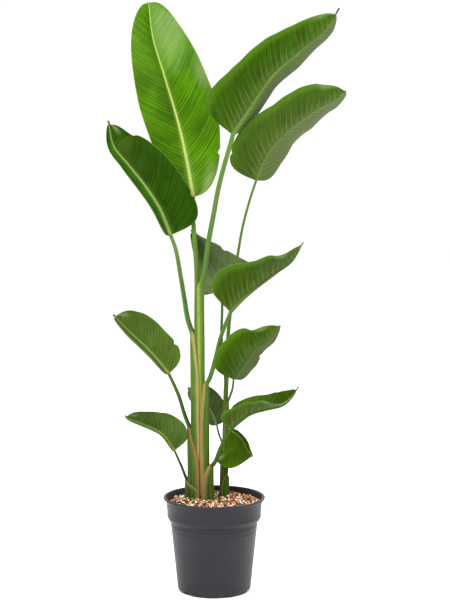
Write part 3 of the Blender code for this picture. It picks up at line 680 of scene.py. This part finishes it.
def stem_rings(leaf, keel):
    """Sections of the free petiole, from the sheath's top to the start of the keel."""
    half_width, depth = leaf.petiole
    start, start_turn = stem_start(leaf)
    stem = smooth_curve([start, *leaf.stem, keel[0], keel[1]])
    stem = stem[:np.linalg.norm(stem - keel[0], axis=1).argmin() + 1]
    shares = np.linspace(0, 1, STEM_STEPS)
    stem = resample(stem, shares)
    turns = np.interp(shares, STEM_TURNING, [start_turn, leaf.turn[0]])
    side, normal = leaf_frames(stem, turns)
    rings = []
    for share in STEM_SHARES:
        row = round(share * (STEM_STEPS - 1))
        width = half_width + (rib_half_width(leaf, 0) - half_width) * share
        bulge = 0 if leaf.side else depth * max(0, 1 - BULGE_FADE * share)
        thick = depth * (1 - STEM_THINNING * share)
        rings.append(petiole_ring(stem[row], side[row], normal[row], width, thick, bulge))
    return rings


def stalk_rings(leaf):
    """Every section of a stalk, and how much of a sheath each one is."""
    shares, rib, side, normal = rib_frames(leaf)
    keel = rib - normal * BLADE_THICKNESS / 2
    rings = (sheath_rings if leaf.side else core_rings)(leaf)
    sheathed = [1.0 if leaf.side else 0.0] * len(rings)
    rings += stem_rings(leaf, keel)
    for row, share in enumerate(shares[shares < KEEL_END]):
        thick = max(KEEL_END_DEPTH, leaf.petiole[1] * KEEL_DEPTH * (1 - share) ** KEEL_POWER)
        rings.append(petiole_ring(keel[row], side[row], normal[row], rib_half_width(leaf, share), thick, 0))
    sheathed += [0.0] * (len(rings) - len(sheathed))
    return refine(np.array(rings), np.array(sheathed))


def refine(rings, sheathed):
    """The same sections with eased ones between them wherever two are far apart."""
    middles = rings.mean(axis=1)
    stations = np.r_[0, np.cumsum(np.linalg.norm(np.diff(middles, axis=0), axis=1))]
    slopes = np.gradient(rings, stations, axis=0)
    fine, marks = [], []
    for index, gap in enumerate(np.diff(stations)):
        count = max(1, round(gap / RING_STEP))
        for t in np.arange(count) / count:
            fine.append(
                (2 * t**3 - 3 * t**2 + 1) * rings[index] + (t**3 - 2 * t**2 + t) * gap * slopes[index]
                + (3 * t**2 - 2 * t**3) * rings[index + 1] + (t**3 - t**2) * gap * slopes[index + 1]
            )
            marks.append(sheathed[index] * (1 - t) + sheathed[index + 1] * t)
    return np.array(fine + [rings[-1]]), np.array(marks + [sheathed[-1]])


def colour(shade):
    """A screen colour from 0 to 255 as the linear colour that a shader takes."""
    share = np.asarray(shade, float) / 255
    return tuple(np.where(share <= 0.04045, share / 12.92, ((share + 0.055) / 1.055) ** 2.4))


def tint(shade, light=1.0):
    """A leaf's or stalk's screen colour, made lighter or darker and toned down to suit the studio."""
    return tuple(LEAF_SHARE * light * value for value in colour(shade))


class Value:
    """A node's output, with short calls for the nodes that follow it."""

    def __init__(self, paint, socket):
        self.paint = paint
        self.socket = socket

    def __add__(self, other):
        return self.paint.math("ADD", self, other)

    def __sub__(self, other):
        return self.paint.math("SUBTRACT", self, other)

    def __mul__(self, other):
        return self.paint.math("MULTIPLY", self, other)

    def step(self, low, high):
        """A soft step from 0 at low to 1 at high."""
        inputs = {"Value": self, "From Min": low, "From Max": high}
        return self.paint.node("MapRange", inputs, interpolation_type="SMOOTHSTEP")

    def spread(self, low, high, start=0.0, end=1.0):
        """The value carried from the range between start and end to the one between low and high."""
        inputs = {"Value": self, "From Min": start, "From Max": end, "To Min": low, "To Max": high}
        return self.paint.node("MapRange", inputs)

    def turn(self, low, high, first, second):
        """A colour that turns softly from the first at low to the second at high."""
        return self.paint.mix(self.step(low, high), first, second)


class Paint:
    """A material with short calls for its nodes, and the base colour that it has so far."""

    def __init__(self, name):
        self.material = bpy.data.materials.new(name)
        self.material.use_nodes = True
        self.tree = self.material.node_tree
        self.shader = self.tree.nodes["Principled BSDF"]
        self.base = None

    def put(self, socket, value):
        """Sets a socket, or links a node's output to it."""
        if isinstance(value, Value):
            self.tree.links.new(value.socket, socket)
        elif socket.type == "RGBA":
            socket.default_value = (*value, 1)
        else:
            socket.default_value = value

    def node(self, kind, inputs, output=0, **settings):
        """A node with its settings and inputs; returns one of its outputs."""
        item = self.tree.nodes.new("ShaderNode" + kind)
        for key, value in settings.items():
            setattr(item, key, value)
        for key, value in inputs.items():
            self.put(item.inputs[key], value)
        return Value(self, item.outputs[output])

    def mark(self, name):
        """A value stored on the mesh."""
        return self.node("Attribute", {}, "Fac", attribute_name=name)

    def here(self):
        """The point on the object itself."""
        return self.node("TexCoord", {}, "Object")

    def height(self):
        """The point's height."""
        return self.node("SeparateXYZ", {0: self.here()}, "Z")

    def place(self, x, y, z=0.0):
        """Three values as one point."""
        return self.node("CombineXYZ", {0: x, 1: y, 2: z})

    def math(self, operation, first, second=0.0, clamp=False):
        """Two values combined."""
        return self.node("Math", {0: first, 1: second}, operation=operation, use_clamp=clamp)

    def mix(self, share, first, second):
        """Two colours mixed."""
        return self.node("Mix", {0: share, 6: first, 7: second}, 2, data_type="RGBA")

    def noise(self, scale=1.0, detail=3.0, roughness=0.5, point=None):
        """A cloudy value round one half, at the point on the object if no other is given."""
        inputs = {"Vector": point or self.here(), "Scale": scale, "Detail": detail, "Roughness": roughness}
        return self.node("TexNoise", inputs, "Fac")

    def stretched(self, scales):
        """The point on the object, scaled along each axis."""
        return self.node("Mapping", {"Vector": self.here(), "Scale": scales})

    def cover(self, share, shade, amount=None):
        """Lays another colour over the base, as far as the share and the amount say."""
        self.base = self.mix(share * amount if amount else share, self.base, shade)

    def finish(self, roughness, relief, depth, strength, gloss=None):
        """Fills in the shader: its colour, roughness, relief and gloss."""
        bump = self.node("Bump", {"Height": relief, "Distance": depth, "Strength": strength}, "Normal")
        values = {"Base Color": self.base, "Roughness": roughness, "Normal": bump, **(gloss or {})}
        for key, value in values.items():
            self.put(self.shader.inputs[key], value)
        return self.material


def blend(first, second, share):
    """The share of the first value and the rest of the second."""
    return first * share + second * (1 - share)


def leaf_pattern(paint):
    """Streaks along the veins from fine to broad, and soft blotches."""
    vein, outward = paint.mark("vein"), paint.mark("outward")
    points = [(paint.place(vein * scale, outward), detail) for scale, detail in STREAKS]
    streaks = [paint.noise(detail=detail, point=point) for point, detail in points]
    return (*streaks, paint.noise(scale=14, detail=4))


def vein_lines(paint, spacing, wander):
    """Even lines along the side veins, from 0 to 1, that stray a little."""
    turns = paint.mark("vein") * (2 * math.pi / spacing) + wander * VEIN_WANDER
    return paint.math("SINE", turns).spread(0.0, 1.0, start=-1.0)


def lay_painted_highlights(paint, spots, shade, amount):
    """Lays soft pale spots over the blade as painted highlights."""
    if not spots:
        return
    here = paint.place(*(paint.mark(name) * stretch for name, stretch in HIGHLIGHT_STRETCH.items()))
    total = 0.0
    for half, share, outward, size in spots:
        middle = [place * stretch for place, stretch in zip((share, outward, half), HIGHLIGHT_STRETCH.values())]
        away = paint.node("VectorMath", {0: here, 1: middle}, "Value", operation="DISTANCE")
        total = paint.math("ADD", total, away.step(size, HIGHLIGHT_CORE * size), clamp=True)
    paint.cover(total, shade, amount)


def shade_and_tone_by_place(paint, tones):
    """Makes the base lighter or darker by half, as painted light and shade, from base to tip, and in broad soft
    patches.
    """
    left, right, foot, tip = tones
    # Painted light and shade: one half lighter and the other darker, as one is lit and the other shaded
    sides = paint.mark("half").spread(left, right)
    ends = paint.mark("share").spread(foot, tip)
    clouds = paint.noise(scale=11, detail=3, roughness=0.6).spread(*CLOUD_TONES, start=0.3, end=0.7)
    paint.base = paint.node("HueSaturation", {"Color": paint.base, "Value": sides * ends * clouds})


def finish_blade(paint, leaf, look, roughness, relief, depth):
    """Adds the pale margin and the dried drip tip, fills in the shader, and lets light shine through."""
    paint.cover(paint.mark("outward").step(*MARGIN_EDGE), tint(look.rib), amount=0.35)
    dried = paint.mark("share").step(1 - DRIED_START * leaf.tip, 1 - DRIED_END * leaf.tip)
    paint.cover(dried, tint(DRIED))
    paint.finish(roughness, relief, depth, strength=0.5, gloss=LEAF_GLOSS)
    through = paint.node("BsdfTranslucent", {"Color": paint.base})
    solid = Value(paint, paint.shader.outputs[0])
    both = paint.node("MixShader", {0: LIGHT_THROUGH, 1: solid, 2: through})
    paint.put(paint.tree.nodes["Material Output"].inputs["Surface"], both)
    return paint.material


def upper_material(leaf, look):
    """The glossy upper face: two greens, fine even veins, pale spots of painted highlight and a pale rib."""
    paint = Paint(leaf.name + "_upper")
    fine, middle, broad, blotch = leaf_pattern(paint)
    veins = vein_lines(paint, VEIN_SPACING, broad)
    rib = paint.mark("rib")
    dark = tint(look.deep, 0.8)
    tone = veins * VEIN_TONE + middle * STREAK_TONE + fine * (1 - VEIN_TONE - STREAK_TONE)
    paint.base = tone.turn(0.32, 0.68, tint(look.deep), tint(look.light, 1.02))
    paint.cover(blotch.step(0.42, 0.75), dark, amount=0.35)
    paint.cover(vein_lines(paint, FINE_SPACING, middle), dark, amount=0.16)
    shade_and_tone_by_place(paint, look.tones)
    # Painted highlights: soft pale glossy spots
    lay_painted_highlights(paint, look.spots, tint(HIGHLIGHT_PALE), amount=0.42)
    paint.cover(rib.step(4.0, 1.0), tint(look.rib), amount=0.16)
    paint.cover(rib.step(1.15, 0.8), tint(look.rib))
    roughness = middle.spread(*UPPER_ROUGHNESS)
    return finish_blade(paint, leaf, look, roughness, relief=blend(veins, fine, 0.3), depth=0.0009)


def under_material(leaf, look):
    """The matt lower face: fading pale veins, bloom and painted sheen by the keel, a painted rim highlight."""
    paint = Paint(leaf.name + "_under")
    fine, middle, broad, blotch = leaf_pattern(paint)
    outward, half = paint.mark("outward"), paint.mark("half")
    threads = vein_lines(paint, FINE_SPACING, middle)
    veins = vein_lines(paint, UNDER_SPACING, broad).step(0.80, 0.99)
    tone = blend(threads, middle, 0.3)
    paint.base = tone.turn(0.34, 0.68, tint(look.under, 0.56), tint(look.light, 0.92))
    paint.cover(blotch.step(0.42, 0.72), tint(look.under, 0.55), amount=0.35)
    shade_and_tone_by_place(paint, look.tones)
    # Painted highlight along the curled rim of the right half, where the edge catches the light
    paint.cover(outward.step(0.70, 0.95) * half, tint(EDGE_HIGHLIGHT_GREEN), amount=0.45)
    # Painted sheen: pale grey reflection on one half of the lower face
    paint.cover(half.spread(*look.haze), tint(look.bloom, 0.85))
    # Pale band beside the keel: powdery bloom with painted sheen laid over it
    paint.cover(outward.step(0.32, 0.0), tint(look.bloom, 0.9), amount=0.40)
    paint.cover(outward.step(0.75, 0.05) * veins, tint(look.bloom, 1.15), amount=0.5)
    paint.cover(threads, tint(look.deep, 0.6), amount=0.24)
    # Painted highlights: soft pale glossy spots
    lay_painted_highlights(paint, look.spots, tint(HIGHLIGHT_PALE, 0.8), amount=0.40)
    roughness = middle.spread(*UNDER_ROUGHNESS)
    return finish_blade(paint, leaf, look, roughness, relief=blend(veins, fine, 0.55), depth=0.0010)


def stalk_noise(paint, across, along, roughness=0.5):
    """Cloudy lines on a stalk: so many across it, and to a metre of its length."""
    point = paint.place(paint.mark("around") * across, paint.mark("along") * along)
    return paint.noise(roughness=roughness, point=point)


def stalk_material(leaf, look):
    """A waxy stalk with lines along it, a papery edge to its sheath, and a deep green foot streaked brown."""
    paint = Paint(leaf.name + "_stalk")
    sheath, height = paint.mark("sheath"), paint.height()
    lines = stalk_noise(paint, *STALK_LINES)
    streaks = stalk_noise(paint, *STALK_STREAKS, roughness=0.6).step(0.46, 0.62)
    patches = paint.noise(scale=24, detail=4)
    paint.base = lines.turn(0.35, 0.7, tint(look.stalk, 0.68), tint(look.stalk, 1.3))
    paint.cover(patches.step(0.45, 0.7), tint(look.wing), amount=0.14)
    green = lines.turn(0.3, 0.7, tint(FOOT_GREEN, 0.7), tint(FOOT_GREEN, 1.35))
    paint.cover(height.step(0.80, 0.35), green, amount=0.7)

    edge = paint.mark("edge") + (patches - 0.5) * EDGE_STRAY
    wing = edge.step(0.74, 0.99) * sheath
    foot = (height + (patches - 0.5) * FOOT_STRAY).step(0.58, 0.26) * FOOT_AMOUNT
    paint.cover(wing, tint(look.wing))
    paint.cover(foot * streaks, tint(FOOT_BROWN, 0.75))
    paint.cover(foot, tint(FOOT_BROWN, 0.8), amount=0.22)
    paint.cover(edge.step(0.94, 1.02) * sheath, tint(EDGE_BROWN), amount=0.4)
    paint.cover(paint.noise(scale=260, detail=2).step(0.60, 0.68) * wing, tint(FRECKLE), amount=0.6)
    roughness = lines.spread(*STALK_ROUGHNESS)
    return paint.finish(roughness, relief=lines, depth=0.0008, strength=0.5, gloss=LEAF_GLOSS)


def plastic_material():
    """Charcoal moulded plastic with a fine grain, faint turned lines and scuffs."""
    paint = Paint("pot_plastic_worn")
    grain, cloud = paint.noise(scale=900, detail=2), paint.noise(scale=22, detail=5)
    turned = paint.noise(detail=2, point=paint.place(0.0, 0.0, paint.height() * TURNED_LINES))
    scuffs = paint.noise(detail=4, roughness=0.7, point=paint.stretched(SCUFF_LINES))
    lighter = colour([PLASTIC_LIGHT * value for value in PLASTIC])
    paint.base = cloud.turn(0.35, 0.75, colour(PLASTIC), lighter)
    paint.cover(scuffs.step(0.62, 0.8), colour(SCUFF), amount=0.35)
    relief = grain * GRAIN_RELIEF + turned * TURNED_RELIEF
    roughness = cloud.spread(*PLASTIC_ROUGHNESS)
    return paint.finish(roughness, relief, depth=0.0005, strength=0.35, gloss=PLASTIC_GLOSS)


def bed_material():
    """Damp dark mix between the chips."""
    paint = Paint("soil_bed_mix")
    grain = paint.noise(scale=260, detail=6, roughness=0.7)
    paint.base = grain.turn(0.35, 0.7, colour(BED_DARK), colour(BED_LIGHT))
    return paint.finish(roughness=0.9, relief=grain, depth=0.003, strength=0.8)


def chip_material(chips):
    """Rough chips that differ in tone from one to the next, with a grain along them."""
    paint = Paint(chips.name + "_wood")
    grain = paint.noise(scale=420, detail=5, roughness=0.65, point=paint.stretched(CHIP_GRAIN))
    paint.base = paint.mix(paint.mark("tone"), colour(chips.dark), colour(chips.light))
    paint.cover(grain.step(0.5, 0.8), colour(chips.dark), amount=0.45)
    return paint.finish(roughness=0.85, relief=grain, depth=0.0012, strength=0.7)


def floor_material():
    """A plain pale floor, very slightly uneven in tone."""
    paint = Paint("floor_pale")
    cloud = paint.noise(scale=3, detail=2)
    paint.base = paint.mix(cloud, *FLOOR_TONES)
    return paint.finish(roughness=0.7, relief=cloud, depth=0.0002, strength=0.1)


def new_piece(name, points, faces, materials, marks=None, slots=None):
    """A smooth-shaded mesh object with values stored on its points."""
    mesh = bpy.data.meshes.new(name)
    mesh.from_pydata(points, [], faces)
    for key, values in (marks or {}).items():
        values = np.asarray(values, np.float32).ravel()
        mesh.attributes.new(key, "FLOAT", "POINT").data.foreach_set("value", values)
    for material in materials:
        mesh.materials.append(material)
    if slots is not None:
        mesh.polygons.foreach_set("material_index", np.asarray(slots, np.int32))
    mesh.shade_smooth()
    return new_object(name, mesh)


def new_object(name, data):
    """An object of the scene."""
    item = bpy.data.objects.new(name, data)
    bpy.context.scene.collection.objects.link(item)
    return item


def stand_for(piece, node):
    """The piece takes a node's place: it hangs from the root, and the node's own part is hidden."""
    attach(piece, "root")
    if node:
        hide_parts(node)


def grid_faces(rows, columns):
    """Faces of a grid of points whose rows run upwards and columns to the right."""
    corner = np.arange((rows - 1) * columns).reshape(rows - 1, columns)[:, :-1].ravel()
    return np.stack([corner, corner + 1, corner + columns + 1, corner + columns], axis=1)


def ring_faces(index):
    """Faces that join each closed ring of points to the next one."""
    after = np.roll(index, -1, axis=1)
    return np.stack([index[:-1], index[1:], after[1:], after[:-1]], axis=-1).reshape(-1, 4)


def circle(radius, sides=TURNED_SIDES):
    """Points on a circle round the pot's axis."""
    turns = np.linspace(0, 2 * math.pi, sides, endpoint=False)
    return [(radius * math.cos(turn), radius * math.sin(turn)) for turn in turns]


def make_blade(leaf):
    """A blade of two faces with their own materials, thinning to its margin."""
    look = LOOKS[leaf.name]
    grid = blade_surface(leaf)
    rows, columns = grid.shape[:2]
    surface = grid[..., :3]
    marks = dict(zip(MARKS, np.moveaxis(grid[..., 3:], -1, 0)))
    normal = unit(np.cross(np.gradient(surface, axis=1), np.gradient(surface, axis=0)))
    half = (BLADE_THICKNESS + (MARGIN_THICKNESS - BLADE_THICKNESS) * marks["outward"])[..., None] / 2
    points = np.concatenate([surface + normal * half, surface - normal * half]).reshape(-1, 3)

    count = rows * columns
    index = np.arange(count).reshape(rows, columns)
    border = np.concatenate([index[0, :-1], index[:-1, -1], index[-1, :0:-1], index[:0:-1, 0]])
    after = np.roll(border, -1)
    top = grid_faces(rows, columns)
    rim = np.stack([border + count, after + count, after, border], axis=1)
    faces = np.concatenate([top, top[:, ::-1] + count, rim])
    slots = np.concatenate([np.zeros(len(top)), np.ones(len(top)), np.zeros(len(rim))])
    values = {name: np.tile(mark.ravel(), 2) for name, mark in marks.items()}
    materials = [upper_material(leaf, look), under_material(leaf, look)]
    piece = new_piece(leaf.name + "_blade_fine", points, faces, materials, values, slots)
    stand_for(piece, leaf.name + "_blade")


def make_stalk(leaf):
    """A stalk: its sections joined up, with a cap at each end."""
    rings, sheathed = stalk_rings(leaf)
    count, around = rings.shape[:2]
    index = np.arange(count * around).reshape(count, around)
    sides = ring_faces(index)[:, [0, 3, 2, 1]]
    faces = sides.tolist() + [index[0, ::-1].tolist(), index[-1].tolist()]
    places = np.linspace(-1, 1, ARC_POINTS)
    places = np.concatenate([places, places[::-1]])
    lengths = np.r_[0, np.cumsum(np.linalg.norm(np.diff(rings.mean(axis=1), axis=0), axis=1))]
    values = {
        "edge": np.tile(np.abs(places), count),
        "around": np.tile((places + 1) / 2, count),
        "along": np.repeat(lengths, around),
        "sheath": np.repeat(sheathed, around),
    }
    material = stalk_material(leaf, LOOKS[leaf.name])
    piece = new_piece(leaf.name + "_stalk_fine", rings.reshape(-1, 3), faces, [material], values)
    piece.data.set_sharp_from_angle(angle=math.radians(STALK_SHARP))
    stand_for(piece, leaf.name + "_stalk")


def arc(centre, radius, start, end, count):
    """Points of the pot's section on an arc, in degrees."""
    angles = np.radians(np.linspace(start, end, count))
    return [(centre[0] + radius * math.cos(a), centre[1] + radius * math.sin(a)) for a in angles]


def pot_profile():
    """The pot's section from its floor's edge up the inside, over the rim and down to its underside."""
    inside = [(0.0795, FLOOR_TOP), (0.0810, 0.0095), (0.0817, 0.0115), (0.0978, 0.150), (0.1018, 0.1655),
              (0.1082, 0.1760), (0.1130, 0.2195)]
    lip = arc((0.1182, POT_HEIGHT - 0.0032), 0.0034, 180, 80, 7) + arc((0.1190, 0.2240), 0.0030, 80, -70, 9)
    collar = [(0.1192, 0.2196), (0.1162, 0.2190), (0.1154, 0.2170), (0.1124, 0.1880), (0.1128, 0.1850),
              (0.1126, 0.1790), (0.1110, 0.1755), (0.1098, 0.1735), (0.1092, 0.1715), (0.1066, 0.1690)]
    step = [(0.1046, 0.1678), (0.1038, 0.1660), (0.1036, 0.1590), (0.1040, 0.1575), (0.1034, 0.1558),
            (0.1026, 0.1475), (0.1028, 0.1460), (0.1021, 0.1443)]
    foot = [(FOOT_RADIUS + 0.0002, 0.0160), (FOOT_RADIUS - 0.0002, 0.0090), (FOOT_RADIUS - 0.0018, 0.0042),
            (FOOT_RADIUS - 0.0034, 0.0012), (FOOT_RADIUS - 0.0058, 0), (0.0760, 0), (0.0740, FOOT_RECESS),
            (0.0320, FOOT_RECESS), (0.0300, 0)]
    return inside + lip + collar + step + foot


def make_foot_cutter():
    """Blocks for the notches in the pot's foot, each with a peg for the drain hole behind it."""
    shape = bmesh.new()
    length, width, height = NOTCH_SIZE
    for index in range(NOTCHES):
        angle = math.radians(NOTCH_TURN + index * 360 / NOTCHES)
        out = np.array([math.cos(angle), math.sin(angle)])
        side = np.array([-out[1], out[0]])
        for vertex in bmesh.ops.create_cube(shape, size=1)["verts"]:
            x, y, z = vertex.co
            vertex.co = (*(out * (NOTCH_RADIUS + x * length) + side * y * width), z * height * 2)
        drain = bmesh.ops.create_cone(
            shape, cap_ends=True, segments=DRAIN_SIDES, radius1=DRAIN_RADIUS, radius2=DRAIN_RADIUS,
            depth=FLOOR_TOP,
        )
        middle = Vector((*(out * DRAIN_CIRCLE), (FOOT_RECESS + FLOOR_TOP) / 2))
        for vertex in drain["verts"]:
            vertex.co += middle
    mesh = bpy.data.meshes.new("foot_cutter")
    shape.to_mesh(mesh)
    shape.free()
    return new_object("foot_cutter", mesh)


def make_pot():
    """The pot turned in fine steps, with notches in its foot and drain holes behind them."""
    profile = pot_profile()
    points = [(x, y, height) for radius, height in profile for x, y in circle(radius)]
    index = np.arange(len(points)).reshape(len(profile), TURNED_SIDES)
    faces = ring_faces(index).tolist() + [index[0].tolist(), index[-1, ::-1].tolist()]
    pot = new_piece("pot_fine", points, faces, [plastic_material()])
    cutter = make_foot_cutter()
    notches = pot.modifiers.new("Notches", "BOOLEAN")
    notches.operation = "DIFFERENCE"
    notches.solver = "EXACT"
    notches.object = cutter
    cut = bpy.data.meshes.new_from_object(pot.evaluated_get(bpy.context.evaluated_depsgraph_get()))
    pot.modifiers.clear()
    pot.data = cut
    bpy.data.objects.remove(cutter, do_unlink=True)
    cut.shade_smooth()
    cut.set_sharp_from_angle(angle=math.radians(POT_SHARP))
    stand_for(pot, "pot")


def soil_height(x, y):
    """Height of the soil: chips and hollows, falling a little towards the pot's wall."""
    first, second, third = (math.sin(a * x + b * y) for a, b in CHIP_WAVES)
    chips = (first * second + third / 2) / 1.5
    edge = (math.hypot(x, y) / SOIL_TOP_RADIUS) ** 4
    return SOIL_HEIGHT + SOIL_RELIEF * chips - SOIL_EDGE_DIP * edge


def make_bed():
    """The damp mix under the chips: a disc with its edge turned down inside the pot."""
    points = [(0, 0, soil_height(0, 0) - BED_SINK)]
    for radius in np.linspace(0, SOIL_TOP_RADIUS, BED_RINGS + 1)[1:]:
        points += [(x, y, soil_height(x, y) - BED_SINK) for x, y in circle(radius)]
    points += [(x, y, SOIL_HEIGHT - BED_DEPTH) for x, y in circle(SOIL_TOP_RADIUS - BED_DEPTH * BED_SLOPE)]
    index = 1 + np.arange(len(points) - 1).reshape(-1, TURNED_SIDES)
    inner = index[0].tolist()
    fan = [[0, a, b] for a, b in zip(inner, inner[1:] + inner[:1])]
    faces = fan + ring_faces(index).tolist() + [index[-1, ::-1].tolist()]
    bed = new_piece("soil_bed", points, faces, [bed_material()])
    stand_for(bed, "soil")


def chip_form(rng, flatness):
    """An angular chip about one unit long: the hull of a few scattered points."""
    shape = bmesh.new()
    sizes = np.array(CHIP_HALVES) * (1, 1, flatness)
    for point in rng.normal(size=(CHIP_POINTS, 3)):
        shape.verts.new(unit(point) * rng.uniform(*CHIP_REACH) * sizes)
    bmesh.ops.convex_hull(shape, input=shape.verts)
    loose = [vertex for vertex in shape.verts if not vertex.link_faces]
    bmesh.ops.delete(shape, geom=loose, context="VERTS")
    bmesh.ops.recalc_face_normals(shape, faces=shape.faces)
    shape.verts.index_update()
    points = np.array([vertex.co for vertex in shape.verts])
    faces = np.array([[vertex.index for vertex in face.verts] for face in shape.faces])
    shape.free()
    return points, faces


def in_the_way(x, y, margin):
    """Whether a place on the soil is inside a shoot, or closer to it than the margin."""
    for name, shoot in SHOOTS.items():
        centre, length, depth = bundle_outline(name, len(shoot_leaves(name)) - 1, SOIL_HEIGHT)
        out = fan_direction(shoot, 1)
        side = np.cross(UP, out)
        offset = np.array([x, y, SOIL_HEIGHT]) - centre
        if math.hypot(offset @ out / (length + margin), offset @ side / (depth + margin)) < 1:
            return True
    return False


def make_chips(chips):
    """Chips of one kind, strewn over the soil from a fixed seed, each lying nearly flat."""
    rng = np.random.default_rng(chips.seed)
    forms = [chip_form(rng, chips.flatness) for _ in range(CHIP_FORMS)]
    points, faces, tones, first = [], [], [], 0
    while len(tones) < chips.count:
        length = rng.uniform(*chips.length)
        distance = (SOIL_TOP_RADIUS - length * WALL_SHARE - WALL_ROOM) * math.sqrt(rng.uniform())
        angle = rng.uniform(0, 2 * math.pi)
        x, y = distance * math.cos(angle), distance * math.sin(angle)
        form, form_faces = forms[rng.integers(CHIP_FORMS)]
        right, back = rng.normal(0, CHIP_LEAN, 2)
        turn = rng.uniform(0, 2 * math.pi)
        lift = rng.uniform(*CHIP_LIFT)
        tone = rng.uniform()
        if in_the_way(x, y, length * SHOOT_SHARE):
            continue
        run, rise = math.cos(turn), math.sin(turn)
        flat = np.array([[run, -rise, 0], [rise, run, 0], [0, 0, 1]])
        lean = np.array([[1, 0, right], [0, 1, back], [-right, -back, 1]])
        place = np.array([x, y, soil_height(x, y) + lift])
        points.append(form @ flat.T @ lean.T * length + place)
        faces.append(form_faces + first)
        first += len(form)
        tones.append(np.full(len(form), tone))
    points, faces, tones = np.vstack(points), np.vstack(faces), np.concatenate(tones)
    piece = new_piece(chips.name, points, faces, [chip_material(chips)], {"tone": tones})
    piece.data.shade_flat()
    stand_for(piece, None)


def make_floor():
    """A plain pale floor under everything."""
    ring = [(x, y, 0) for x, y in circle(FLOOR_RADIUS, FLOOR_SIDES)]
    floor = new_piece("floor", ring, [list(range(FLOOR_SIDES))], [floor_material()])


def make_light(name, place, size, energy):
    """A soft square light that faces the plant's middle."""
    lamp = bpy.data.lights.new(name, "AREA")
    lamp.size = size
    lamp.energy = energy
    light = new_object(name, lamp)
    light.location = place
    light.rotation_euler = (Vector(LIGHT_AIM) - light.location).to_track_quat("-Z", "Y").to_euler()


def make_studio():
    """White surroundings, a main light at the upper left, a weaker one at the right and one from behind."""
    world = bpy.data.worlds.new("studio")
    world.use_nodes = True
    surroundings = world.node_tree.nodes["Background"].inputs
    surroundings["Color"].default_value = (1, 1, 1, 1)
    surroundings["Strength"].default_value = WORLD_STRENGTH
    bpy.context.scene.world = world
    bpy.context.scene.view_settings.view_transform = "Standard"
    for light in LIGHTS:
        make_light(*light)


def make_camera():
    """The photograph's viewpoint."""
    data = bpy.data.cameras.new("photo_view")
    data.sensor_fit = "VERTICAL"
    data.sensor_height = SENSOR_HEIGHT
    data.lens = LENS
    camera = new_object("photo_view", data)
    camera.location = CAMERA_PLACE
    camera.rotation_euler = (math.radians(CAMERA_TILT), 0, 0)
    bpy.context.scene.camera = camera


def main():
    """Builds the studio and every piece."""
    make_camera()
    make_studio()
    make_floor()
    make_pot()
    make_bed()
    for chips in CHIPS:
        make_chips(chips)
    for leaf in LEAVES:
        make_blade(leaf)
        make_stalk(leaf)


main()
